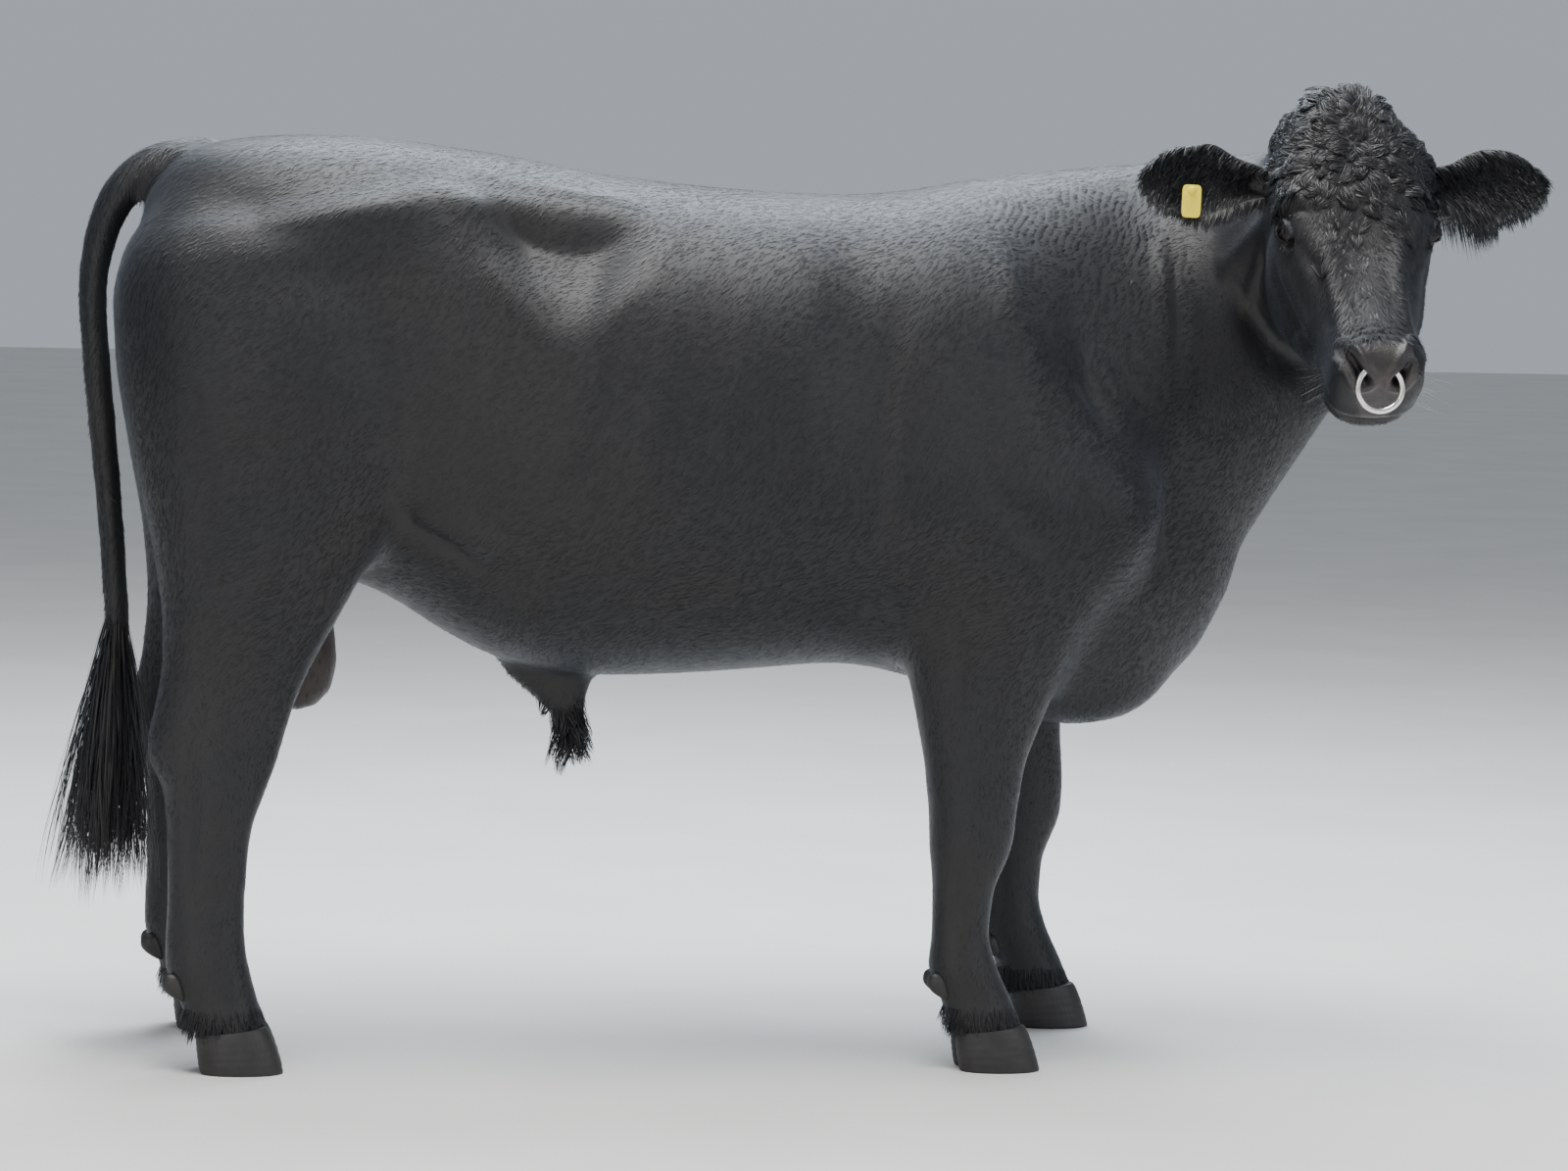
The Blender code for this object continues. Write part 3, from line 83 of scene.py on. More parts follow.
BELLY_SQUARENESS = ((-1.02, 2.0), (-0.65, 2.0), (-0.30, 2.15), (0.20, 2.2), (0.50, 2.0), (0.72, 2.0))
TRUNK_STATIONS = 30

# Neck: centre, heading to the right and upward in degrees, reach up, reach down, half width
NECK_STATIONS = (
    ((0.30, 0.0, 0.99), 0.0, 12.0, 0.395, 0.38, 0.275),
    ((0.47, 0.002, 1.04), 3.0, 20.0, 0.380, 0.355, 0.250),
    ((0.61, -0.005, 1.10), 12.0, 26.0, 0.345, 0.312, 0.222),
    ((0.71, -0.035, 1.16), 30.0, 28.0, 0.298, 0.236, 0.197),
    ((0.785, -0.095, 1.215), 52.0, 20.0, 0.240, 0.192, 0.175),
    ((0.81, -0.17, 1.265), 75.0, -5.0, 0.185, 0.158, 0.155),
    ((0.815, -0.235, 1.255), 88.0, -25.0, 0.150, 0.14, 0.13),
)

# Legs, right side: height, rear edge, front edge, inner side, outer side
HIND_LEG = (
    (1.340, -0.965, -0.680, 0.035, 0.190),
    (1.260, -1.040, -0.610, 0.022, 0.262),
    (1.180, -1.062, -0.585, 0.020, 0.300),
    (1.050, -1.052, -0.572, 0.024, 0.318),
    (0.920, -1.026, -0.600, 0.040, 0.310),
    (0.800, -0.997, -0.652, 0.075, 0.288),
    (0.700, -0.982, -0.697, 0.112, 0.262),
    (0.610, -0.982, -0.745, 0.132, 0.247),
    (0.555, -0.992, -0.768, 0.138, 0.242),
    (0.515, -1.002, -0.780, 0.140, 0.240),
    (0.475, -1.000, -0.792, 0.141, 0.239),
    (0.435, -0.975, -0.808, 0.143, 0.237),
    (0.370, -0.968, -0.832, 0.149, 0.231),
    (0.270, -0.967, -0.840, 0.155, 0.225),
    (0.200, -0.968, -0.840, 0.153, 0.227),
    (0.155, -0.968, -0.832, 0.147, 0.233),
    (0.112, -0.946, -0.820, 0.148, 0.232),
    (0.060, -0.932, -0.802, 0.138, 0.242),
)
FORE_LEG = (
    (1.270, 0.130, 0.330, 0.070, 0.205),
    (1.150, 0.100, 0.430, 0.055, 0.272),
    (1.000, 0.095, 0.520, 0.050, 0.314),
    (0.880, 0.110, 0.560, 0.058, 0.324),
    (0.780, 0.128, 0.522, 0.072, 0.316),
    (0.680, 0.148, 0.450, 0.095, 0.294),
    (0.580, 0.172, 0.402, 0.112, 0.268),
    (0.480, 0.195, 0.362, 0.124, 0.252),
    (0.405, 0.205, 0.350, 0.129, 0.248),
    (0.345, 0.208, 0.344, 0.133, 0.244),
    (0.280, 0.214, 0.316, 0.146, 0.232),
    (0.205, 0.214, 0.310, 0.151, 0.228),
    (0.155, 0.208, 0.326, 0.143, 0.236),
    (0.112, 0.230, 0.348, 0.147, 0.232),
    (0.060, 0.246, 0.368, 0.138, 0.242),
)
# Forward shift of the left legs, by height: the left foreleg is a step ahead, the left hind a little behind
LEFT_HIND_SHIFT = ((0.0, -0.032), (0.55, -0.030), (0.90, -0.008), (1.34, 0.0))
LEFT_FORE_SHIFT = ((0.0, 0.155), (0.38, 0.150), (0.62, 0.082), (0.85, 0.020), (1.27, 0.0))

# Claws: two to a foot
CLAW_LENGTH = 0.126
CLAW_WIDTH = 0.054
CLAW_SPLIT = 0.006
CLAW_SLOPE = 0.016
CLAW_INNER_FLAT = -0.62
CLAW_TOE_HEIGHT = 0.074
CLAW_HEEL_HEIGHT = 0.060
HIND_TOE_X = -0.783
FORE_TOE_X = 0.389
FOOT_Y = 0.190
DEWCLAW_HEIGHT = 0.130
DEWCLAW_SIZE = (0.017, 0.012, 0.022)
DEWCLAW_SPREAD = 0.021
DEWCLAW_BACK = {"hind": -0.166, "fore": -0.160}

# Tail, over the rump and down behind the thighs
TAIL_PATH = ((-0.900, 0.000, 1.385), (-0.975, -0.002, 1.378), (-1.030, -0.006, 1.345),
             (-1.066, -0.010, 1.285), (-1.084, -0.015, 1.190), (-1.078, -0.018, 1.080),
             (-1.068, -0.018, 0.975), (-1.054, -0.016, 0.830), (-1.044, -0.012, 0.700),
             (-1.040, -0.010, 0.640))
TAIL_RADII = (0.040, 0.039, 0.036, 0.031, 0.027, 0.026, 0.026, 0.025, 0.024, 0.023)
# Sheath and scrotum: height, middle along X, half depth along X, half width
SHEATH_STATIONS = ((0.660, -0.385, 0.100, 0.045), (0.590, -0.368, 0.072, 0.036),
                   (0.555, -0.352, 0.046, 0.028), (0.525, -0.338, 0.028, 0.022),
                   (0.500, -0.332, 0.020, 0.017), (0.480, -0.333, 0.010, 0.009))
SCROTUM_STATIONS = ((0.790, -0.765, 0.052, 0.040), (0.720, -0.765, 0.054, 0.046),
                    (0.660, -0.768, 0.066, 0.058), (0.610, -0.770, 0.073, 0.062),
                    (0.565, -0.770, 0.064, 0.055), (0.538, -0.770, 0.040, 0.036),
                    (0.530, -0.770, 0.015, 0.014))

# Head: the origin lies under the poll; nose axis f, brow axis u, left axis s
HEAD_ORIGIN = (0.815, -0.24, 1.453)
HEAD_YAW = 91.0
HEAD_PITCH = 46.0
HEAD_ROLL = 2.0
# Along the nose: brow side, throat side, half width near the brow, half width near the jaw
HEAD_STATIONS = (
    (-0.060, 0.045, -0.250, 0.098, 0.092),
    (-0.020, 0.070, -0.275, 0.112, 0.094),
    (0.030, 0.081, -0.285, 0.123, 0.098),
    (0.085, 0.073, -0.288, 0.138, 0.102),
    (0.140, 0.058, -0.282, 0.142, 0.106),
    (0.190, 0.038, -0.266, 0.138, 0.106),
    (0.245, 0.020, -0.242, 0.118, 0.096),
    (0.300, 0.008, -0.214, 0.095, 0.080),
    (0.350, 0.003, -0.192, 0.082, 0.068),
    (0.392, 0.004, -0.178, 0.080, 0.064),
    (0.430, 0.000, -0.166, 0.084, 0.062),
    (0.454, -0.010, -0.146, 0.080, 0.054),
    (0.468, -0.028, -0.112, 0.062, 0.040),
)
# Relief of the head, mirrored unless on the middle: left, brow, nose; radii; height along the surface normal
HEAD_RELIEF = (
    ((0.085, -0.160, 0.150), (0.060, 0.085, 0.095), 0.010),
    ((0.125, 0.012, 0.180), (0.060, 0.026, 0.042), 0.010),
    ((0.125, -0.025, 0.062), (0.050, 0.040, 0.040), 0.018),
    ((0.000, 0.095, 0.010), (0.065, 0.060, 0.060), 0.010),
    ((0.000, 0.030, 0.235), (0.045, 0.040, 0.070), -0.005),
    ((0.055, -0.012, 0.435), (0.030, 0.028, 0.032), 0.008),
    ((0.050, -0.080, 0.430), (0.040, 0.030, 0.040), 0.008),
    ((0.000, -0.160, 0.410), (0.045, 0.030, 0.040), 0.013),
    ((0.082, -0.070, 0.305), (0.040, 0.030, 0.060), 0.005),
    ((0.105, -0.070, 0.240), (0.040, 0.030, 0.040), -0.006),
)

EYE_RADIUS = 0.0205

MOUTH_AT = (0.0, -0.122, 0.350)
MOUTH_RISE = 0.010
MOUTH_SWEEP = 82.0
RING_OUTER = 0.076
RING_ROD = 0.009
RING_HOLE_AT = (0.0, -0.021, 0.446)

EAR_LENGTH = 0.192
EAR_WIDTH = 0.140
EAR_OUTLINE = ((0.0, 0.36), (0.18, 0.55), (0.52, 1.0), (0.78, 0.80), (0.93, 0.42), (1.0, 0.12))
EAR_ROOT = (0.124, -0.030, 0.066)
EAR_RISE = {-1: 0.05, 1: -0.03}
EAR_FORWARD = 0.10
EAR_CUP = 0.020
EAR_BACK = 0.012
TAG_SIZE = (0.030, 0.050, 0.0022)
TAG_PLACE = (0.62, -0.20)
TAG_PIN = 0.0028
TAG_STANDOFF = 0.0245
TAG_BACK = 0.010
TAG_BUTTON = 0.012


def mesh_from_bmesh(bm, name):
    bmesh.ops.recalc_face_normals(bm, faces=bm.faces)
    mesh = bpy.data.meshes.new(name)
    bm.to_mesh(mesh)
    bm.free()
    return mesh


def value_at(keys, place):
    """Smooth curve through a few keys: cubic, flat past the ends, never overshooting a key."""
    xs = [key[0] for key in keys]
    ys = [key[1] for key in keys]
    if place <= xs[0]:
        return ys[0]
    if place >= xs[-1]:
        return ys[-1]
    slopes = [(ys[i + 1] - ys[i]) / (xs[i + 1] - xs[i]) for i in range(len(xs) - 1)]
    tangents = [slopes[0]]
    for before, after in zip(slopes, slopes[1:]):
        tangents.append(0.0 if before * after <= 0.0 else 2.0 * before * after / (before + after))
    tangents.append(slopes[-1])
    i = max(k for k in range(len(xs) - 1) if xs[k] <= place)
    width = xs[i + 1] - xs[i]
    t = (place - xs[i]) / width
    return ((2 * t**3 - 3 * t**2 + 1) * ys[i] + (t**3 - 2 * t**2 + t) * width * tangents[i]
            + (-2 * t**3 + 3 * t**2) * ys[i + 1] + (t**3 - t**2) * width * tangents[i + 1])


def squared(value, power):
    return math.copysign(abs(value) ** power, value)


def ring_points(centre, side, up, half_width, reach_up, reach_down, square_up=2.0, square_down=2.0, count=28):
    """Closed section: a superellipse whose upper and lower halves differ in reach and squareness."""
    points = []
    for k in range(count):
        angle = 2.0 * math.pi * (k + 0.5) / count
        upper = math.cos(angle) >= 0.0
        square = square_up if upper else square_down
        reach = reach_up if upper else reach_down
        points.append(Vector(centre) + Vector(side) * half_width * squared(math.sin(angle), 2.0 / square)
                      + Vector(up) * reach * squared(math.cos(angle), 2.0 / square))
    return points


def loft(name, rings, group, material=None):
    """Closed skin through a row of rings of equal count, with a flat cap at each end."""
    bm = bmesh.new()
    rows = [[bm.verts.new(point) for point in ring] for ring in rings]
    count = len(rows[0])
    for lower, upper in zip(rows, rows[1:]):
        for k in range(count):
            bm.faces.new((lower[k], lower[(k + 1) % count], upper[(k + 1) % count], upper[k]))
    bm.faces.new(rows[0][::-1])
    bm.faces.new(rows[-1])
    return add_object(name, mesh_from_bmesh(bm, name), group, material)


def ellipsoid(name, centre, radii, group, turn=None, segments=20, rings=12):
    bm = bmesh.new()
    bmesh.ops.create_uvsphere(bm, u_segments=segments, v_segments=rings, radius=1.0)
    turned = turn.to_4x4() if turn else Matrix()
    place = Matrix.Translation(Vector(centre)) @ turned @ Matrix.Diagonal((*radii, 1.0))
    bmesh.ops.transform(bm, matrix=place, verts=bm.verts)
    return add_object(name, mesh_from_bmesh(bm, name), group)


def smooth_path(points, radii, steps):
    """Points and radii along a smooth curve through a few of them."""
    points = [Vector(point) for point in points]
    ends = [points[0] * 2 - points[1]] + points + [points[-1] * 2 - points[-2]]
    path, sizes = [], []
    for i in range(len(points) - 1):
        a, b, c, d = ends[i:i + 4]
        for k in range(steps):
            t = k / steps
            path.append(0.5 * (2 * b + (c - a) * t + (2 * a - 5 * b + 4 * c - d) * t * t
                               + (3 * b - a - 3 * c + d) * t**3))
            sizes.append(radii[i] * (1 - t) + radii[i + 1] * t)
    return path + [points[-1]], sizes + [radii[-1]]


def apply_modifiers(item):
    bpy.context.view_layer.update()
    graph = bpy.context.evaluated_depsgraph_get()
    mesh = bpy.data.meshes.new_from_object(item.evaluated_get(graph))
    old = item.data
    item.modifiers.clear()
    item.data = mesh
    mesh.name = item.name
    if old.users == 0:
        bpy.data.meshes.remove(old)
    return item


def keep_largest(item):
    """Leaves only the largest closed surface of a solid."""
    bm = bmesh.new()
    bm.from_mesh(item.data)
    left = set(bm.verts)
    pieces = []
    while left:
        start = left.pop()
        piece, front = {start}, [start]
        while front:
            for edge in front.pop().link_edges:
                for vert in edge.verts:
                    if vert not in piece:
                        piece.add(vert)
                        front.append(vert)
        left -= piece
        pieces.append(piece)
    pieces.sort(key=len)
    for piece in pieces[:-1]:
        bmesh.ops.delete(bm, geom=list(piece), context="VERTS")
    bm.to_mesh(item.data)
    bm.free()
    return item


def join_shapes(name, shapes, group):
    """One mesh holding several overlapping closed shapes."""
    bm = bmesh.new()
    for shape in shapes:
        bm.from_mesh(shape.data)
    for shape in shapes:
        bpy.data.objects.remove(shape, do_unlink=True)
    mesh = bpy.data.meshes.new(name)
    bm.to_mesh(mesh)
    bm.free()
    return add_object(name, mesh, group)


def remesh(item, voxel):
    modifier = item.modifiers.new("skin", "REMESH")
    modifier.mode = "VOXEL"
    modifier.voxel_size = voxel
    modifier.adaptivity = 0.0
    return keep_largest(apply_modifiers(item))


def relax(item, passes, weight_at):
    """Evens out the surface; weight_at gives each point's share, so thin limbs keep their girth."""
    mesh = item.data
    count = len(mesh.vertices)
    ends = np.empty(len(mesh.edges) * 2, dtype=int)
    mesh.edges.foreach_get("vertices", ends)
    first, second = ends[0::2], ends[1::2]
    points = np.empty(count * 3)
    mesh.vertices.foreach_get("co", points)
    points = points.reshape(-1, 3)
    links = np.bincount(first, minlength=count) + np.bincount(second, minlength=count)
    weight = weight_at(points)[:, None]
    for _ in range(passes):
        mean = np.stack([np.bincount(first, points[second, axis], count)
                         + np.bincount(second, points[first, axis], count)
                         for axis in range(3)], axis=1) / links[:, None]
        points = points + (mean - points) * weight
    mesh.vertices.foreach_set("co", points.ravel())
    mesh.update()


def trunk_weight(points):
    """Strong on the trunk, weak on the lower legs."""
    return 0.12 + 0.48 * np.clip((points[:, 2] - 0.45) / 0.35, 0.0, 1.0)


def head_axes():
    """Columns: left, brow, nose."""
    yaw, pitch, roll = (math.radians(angle) for angle in (HEAD_YAW, HEAD_PITCH, HEAD_ROLL))
    nose = Vector((math.cos(pitch) * math.cos(yaw), -math.cos(pitch) * math.sin(yaw), -math.sin(pitch)))
    brow = Vector((math.sin(pitch) * math.cos(yaw), -math.sin(pitch) * math.sin(yaw), math.cos(pitch)))
    left = brow.cross(nose)
    cosine, sine = math.cos(roll), math.sin(roll)
    left, brow = left * cosine + brow * sine, brow * cosine - left * sine
    return Matrix((left, brow, nose)).transposed()


HEAD_TURN = head_axes()


def on_head(point):
    return Vector(HEAD_ORIGIN) + HEAD_TURN @ Vector(point)


def from_head(points):
    """Head coordinates (left, brow, nose) of an array of world points."""
    return (points - np.array(HEAD_ORIGIN)) @ np.array(HEAD_TURN)


def mirrored(point, side):
    return (point[0] * side, point[1], point[2])


def trunk_shape(group):
    first, last = BACK_LINE[0][0], BACK_LINE[-1][0]
    rings = []
    for k in range(TRUNK_STATIONS + 1):
        x = first + (last - first) * k / TRUNK_STATIONS
        top, bottom = value_at(BACK_LINE, x), value_at(BELLY_LINE, x)
        widest = value_at(WIDEST_HEIGHT, x)
        rings.append(ring_points((x, 0.0, widest), (0, 1, 0), (0, 0, 1), value_at(HALF_WIDTH, x),
                                 top - widest, widest - bottom, value_at(BACK_SQUARENESS, x),
                                 value_at(BELLY_SQUARENESS, x), 36))
    return loft("trunk", rings, group)


def neck_shape(group):
    rings = []
    for centre, right, rise, reach_up, reach_down, half_width in NECK_STATIONS:
        yaw, pitch = math.radians(right), math.radians(rise)
        ahead = Vector((math.cos(pitch) * math.cos(yaw), -math.cos(pitch) * math.sin(yaw), math.sin(pitch)))
        side = Vector((math.sin(yaw), math.cos(yaw), 0.0))
        up = ahead.cross(side)
        rings.append(ring_points(centre, side, up, half_width, reach_up, reach_down, 1.85, 1.9, 36))
    return loft("neck_core", rings, group)


def leg_shape(name, rows, side, shift, group):
    rings = []
    for height, rear, front, inner, outer in rows:
        step = value_at(shift, height) if side > 0 else 0.0
        centre = ((rear + front) / 2 + step, side * (inner + outer) / 2, height)
        half_width, reach = (outer - inner) / 2, (front - rear) / 2
        rings.append(ring_points(centre, (0, 1, 0), (1, 0, 0), half_width, reach, reach, 2.25, 2.25, 24))
    return loft(name, rings, group)


def head_shapes(group):
    rings = []
    for along, brow, throat, half_brow, half_jaw in HEAD_STATIONS:
        ring = []
        middle, reach = (brow + throat) / 2, (brow - throat) / 2
        for k in range(32):
            angle = 2 * math.pi * (k + 0.5) / 32
            across, up = squared(math.sin(angle), 2 / 2.9), squared(math.cos(angle), 2 / 2.4)
            half = half_jaw + (half_brow - half_jaw) * (up + 1) / 2
            ring.append(on_head((across * half, middle + up * reach, along)))
        rings.append(ring)
    return [loft("skull", rings, group)]


def brisket_shapes(group):
    centre, radii = (0.480, 0.055, 0.650), (0.150, 0.105, 0.128)
    return [ellipsoid("brisket", (centre[0], centre[1] * side, centre[2]), radii, group) for side in (-1, 1)]


# Relief of the flesh, mirrored unless on the middle line: centre, radii, height along the surface normal
RELIEF = (
    ((-0.615, 0.250, 1.365), (0.060, 0.070, 0.050), 0.034),
    ((-0.860, 0.170, 1.360), (0.150, 0.100, 0.090), 0.012),
    ((-0.410, 0.270, 1.290), (0.125, 0.110, 0.055), -0.040),
    ((-0.520, 0.290, 1.215), (0.060, 0.110, 0.070), -0.022),
    ((-0.570, 0.300, 1.120), (0.055, 0.120, 0.160), 0.014),
    ((-0.590, 0.240, 0.840), (0.110, 0.110, 0.110), 0.020),
    ((-0.440, 0.260, 0.760), (0.100, 0.110, 0.060), -0.012),
    ((0.060, 0.300, 1.020), (0.050, 0.120, 0.220), -0.014),
    ((0.270, 0.240, 1.120), (0.130, 0.120, 0.200), 0.026),
    ((0.500, 0.270, 0.880), (0.090, 0.100, 0.110), 0.026),
    ((0.200, 0.320, 0.860), (0.110, 0.110, 0.110), 0.014),
    ((0.400, 0.280, 0.980), (0.060, 0.100, 0.120), -0.010),
    ((0.600, 0.240, 0.900), (0.040, 0.110, 0.130), -0.014),
    ((-1.000, 0.000, 1.120), (0.100, 0.045, 0.260), -0.034),
    ((0.115, 0.280, 0.680), (0.050, 0.110, 0.060), -0.014),
)


def add_relief(item, bumps, to_local=None):
    """Moves the surface along its normal by a sum of smooth bumps, placed in the frame to_local gives."""
    mesh = item.data
    count = len(mesh.vertices)
    points, normals = np.empty(count * 3), np.empty(count * 3)
    mesh.vertices.foreach_get("co", points)
    mesh.vertices.foreach_get("normal", normals)
    points, normals = points.reshape(-1, 3), normals.reshape(-1, 3)
    height = np.zeros(count)
    places = to_local(points) if to_local else points
    for centre, radii, amount in bumps:
        for side in ((-1, 1) if centre[1] else (1,)):
            place = np.array((centre[0], centre[1] * side, centre[2]))
            height += amount * np.exp(-(((places - place) / np.array(radii)) ** 2).sum(axis=1))
    mesh.vertices.foreach_set("co", (points + normals * height[:, None]).ravel())
    mesh.update()


def ear_frame(side):
    """Along the ear, across it (upward) and out of its hollow side, in the head's frame."""
    pitch = math.radians(HEAD_PITCH)
    upright = Vector((0, math.cos(pitch), -math.sin(pitch)))
    ahead = Vector((0, math.sin(pitch), math.cos(pitch)))
    along = (Vector((side, 0, 0)) + upright * EAR_RISE[side] + ahead * EAR_FORWARD).normalized()
    hollow = (ahead - along * ahead.dot(along)).normalized()
    across = hollow.cross(along)
    if across.dot(upright) < 0:
        across = -across
    return along, across, hollow


def ear_half_width(t):
    """Half width along the ear: a narrow root, widest past the middle, a rounded point."""
    return EAR_WIDTH / 2 * value_at(EAR_OUTLINE, t)


def ear_point(t, v, side):
    along, across, hollow = ear_frame(side)
    half = ear_half_width(t)
    cup = EAR_CUP * value_at(((0.0, 1.25), (0.4, 1.0), (1.0, 0.35)), t)
    bend = EAR_BACK * t * t
    place = Vector(mirrored(EAR_ROOT, side)) + along * EAR_LENGTH * t + across * half * v * (1 - 0.18 * v * v)
    return place + hollow * (cup * v * v - bend)


def ring_centre():
    return on_head(RING_HOLE_AT) - Vector((0, 0, (RING_OUTER - RING_ROD) / 2))


def ring_turn():
    """The ring hangs upright, facing the way the nose points."""
    across = HEAD_TURN @ Vector((1, 0, 0))
    across = Vector((across.x, across.y, 0)).normalized()
    up = Vector((0, 0, 1))
    return Matrix((across, up, across.cross(up))).transposed()


def torus(name, centre, turn, major, minor, group, material=None, around=24, across=8):
    """Round ring whose axis is the third column of its turn."""
    bm = bmesh.new()
    rows = []
    for k in range(around):
        angle = 2 * math.pi * k / around
        rows.append([])
        for n in range(across):
            tilt = 2 * math.pi * n / across
            reach = major + minor * math.cos(tilt)
            point = Vector((math.cos(angle) * reach, math.sin(angle) * reach, minor * math.sin(tilt)))
            rows[-1].append(bm.verts.new(Vector(centre) + turn @ point))
    for k in range(around):
        for n in range(across):
            here, there = rows[k], rows[(k + 1) % around]
            bm.faces.new((here[n], there[n], there[(n + 1) % across], here[(n + 1) % across]))
    return add_object(name, mesh_from_bmesh(bm, name), group, material)


def tube(name, points, radii, group, material=None, sides=2, smooth=True, steps=4):
    """Tapered round rod along a smooth curve, made a closed mesh."""
    curve = bpy.data.curves.new(name, "CURVE")
    curve.dimensions = "3D"
    curve.bevel_depth = 1.0
    curve.bevel_resolution = sides
    curve.use_fill_caps = True
    spline = curve.splines.new("POLY")
    if smooth:
        points, radii = smooth_path(points, radii, steps)
    spline.points.add(len(points) - 1)
    for node, point, radius in zip(spline.points, points, radii):
        node.co = (*point, 1.0)
        node.radius = radius
    item = bpy.data.objects.new(name, curve)
    group.objects.link(item)
    return curve_to_mesh(item, group, material)


def curve_to_mesh(item, group, material=None):
    bpy.context.view_layer.update()
    graph = bpy.context.evaluated_depsgraph_get()
    mesh = bpy.data.meshes.new_from_object(item.evaluated_get(graph))
    name, place = item.name, item.matrix_world.copy()
    bpy.data.objects.remove(item, do_unlink=True)
    bm = bmesh.new()
    bm.from_mesh(mesh)
    bmesh.ops.remove_doubles(bm, verts=bm.verts, dist=0.00002)
    bmesh.ops.recalc_face_normals(bm, faces=bm.faces)
    bm.to_mesh(mesh)
    bm.free()
    solid = add_object(name, mesh, group, material)
    solid.matrix_world = place
    return solid


SEED = 7441
SIDES = ((-1, "right"), (1, "left"))
FLESH = ("torso", "neck", "head", "leg_fore_right", "leg_fore_left", "leg_hind_right", "leg_hind_left",
         "tail", "sheath", "scrotum")
# Skin: voxels of its first shape, passes that even it out, and their strength on the head
SKIN_VOXEL = 0.0078
SKIN_PASSES = 50
HEAD_SHARE = 0.055
# Parts of the head whose faces are split finer: low and high corner in the head's own frame, cuts of an edge,
# passes and strength of the evening out, and the stretch along the nose over which it fades in
FAR = 10.0
FINER = (((-0.19, -0.33, 0.03), (0.19, FAR, FAR), 2, 14, 0.5, (0.05, 0.09)),
         ((-0.13, -0.25, 0.345), (0.13, FAR, 0.55), 1, 3, 0.4, (0.34, 0.36)))
# Low and high corner round the roots of the switch, the roots of the sheath's hair, and the scrotum
SWITCH_BOX = ((-FAR, -0.08, 0.60), (-0.98, 0.08, 0.74))
SHEATH_BOX = ((-0.435, -0.06, -FAR), (-0.255, 0.06, 0.60))
SCROTUM_BOX = ((-0.860, -0.075, 0.45), (-0.680, 0.075, 0.72))
# Coat: names of its pieces from rump to neck, lengths and widths of a tuft, and tufts to the square metre
COAT_PIECES = ("coat_rump", "coat_loin", "coat_ribs", "coat_shoulder", "coat_neck")
BODY_HAIR = 0.019
LEG_HAIR = 0.012
FACE_HAIR = 0.0105
BODY_HAIR_WIDTH = 0.0017
FACE_HAIR_WIDTH = 0.0010
BODY_DENSITY = 38000.0
FACE_DENSITY = 170000.0
# Along the nose: the middle of the swirl that the face's coat lies away from, and where the face begins
SWIRL_NOSE = 0.085
FACE_FROM = -0.03
# Edge of the small square on the unwrap that a hair takes its colour from
PATCH = 0.003
# Long hair: hairs to the square metre, then how each kind grows. Its style says the steps along a hair,
# width, lift off the skin, wave and its turns, locks, and the share that a hair is drawn into its lock
BROW_PIECES = ("hair_poll", "hair_brow", "hair_bridge")
BROW_DENSITY = 430000.0
BROW_STYLE = {"steps": 4, "width": 0.0016, "fall": 0.003, "turns": 0.9, "locks": 120, "share": 0.88}
SWITCH_DENSITY = 170000.0
SWITCH_DROP = 0.17
SWITCH_TIPS = (0.185, 0.305)
SWITCH_STYLE = {"steps": 9, "width": 0.0024, "lift": 0.16, "wave": 0.010, "turns": 0.9,
                "locks": 60, "share": 0.80}
SHEATH_DENSITY = 90000.0
SHEATH_STYLE = {"steps": 7, "width": 0.0020, "lift": 0.10, "turns": 1.1, "locks": 26, "share": 0.75}
CORONET_DENSITY = 160000.0
CORONET_HEIGHTS = (0.066, 0.100)
CORONET_HAIR = (0.014, 0.030)
CORONET_STYLE = {"steps": 3, "width": 0.0012, "lift": 0.16, "wave": 0.001, "turns": 0.5,
                 "locks": 300, "share": 0.35}
EAR_DENSITY = 330000.0
EAR_FRINGE = {-1: 0.008, 1: 0.038}
EAR_STYLE = {"steps": 4, "width": 0.0012, "wave": 0.0012, "turns": 0.6, "locks": 420, "share": 0.35}
# Stiff hairs: count to an eye or a side, range of lengths, width, and where they stand
LASHES = 90
LASH_LENGTHS = (0.016, 0.030)
LASH_WIDTH = 0.0008
LASH_EDGE = 1.30
WHISKERS = 16
WHISKER_LENGTHS = (0.030, 0.065)
WHISKER_WIDTH = 0.0013
WHISKER_SPANS = ((0.050, 0.085), (-0.135, -0.060), (0.395, 0.440))
# Ears: steps along and across, and thickness of the skin
EAR_GRID = (30, 22)
EAR_SKIN_THICKNESS = 0.0055
# Claws: levels and points of a level, share of the girth from the sole to the coronet, and depth and pitch
# of the growth rings. Dewclaws: how much thinner the lower end is, stretch along it, and lean in degrees
CLAW_LEVELS = 26
CLAW_POINTS = 48
CLAW_GIRTH = ((0.0, 0.985), (0.04, 1.0), (0.5, 0.96), (0.92, 0.875), (1.0, 0.83))
CLAW_RINGS = (0.0045, 34.0)
DEWCLAW_TAPER = 0.36
DEWCLAW_STRETCH = 1.12
DEWCLAW_LEAN = -35.0
# Eyes: where they look in the head's own frame, edge of the iris, half width and half height of the pupil
EYE_FACING = (0.80, 0.34, 0.44)
IRIS_EDGE = (0.0135, 0.0158)
PUPIL = (0.0075, 0.0042)
# How far the skin lies inside the coat's surface, on the body and on the face and feet
BODY_COAT_DEPTH = 0.0040
FACE_COAT_DEPTH = 0.0016


def ease(values, low, high):
    """Smooth step from 0 at low to 1 at high, for arrays."""
    share = np.clip((np.asarray(values) - low) / (high - low), 0.0, 1.0)
    return share * share * (3.0 - 2.0 * share)


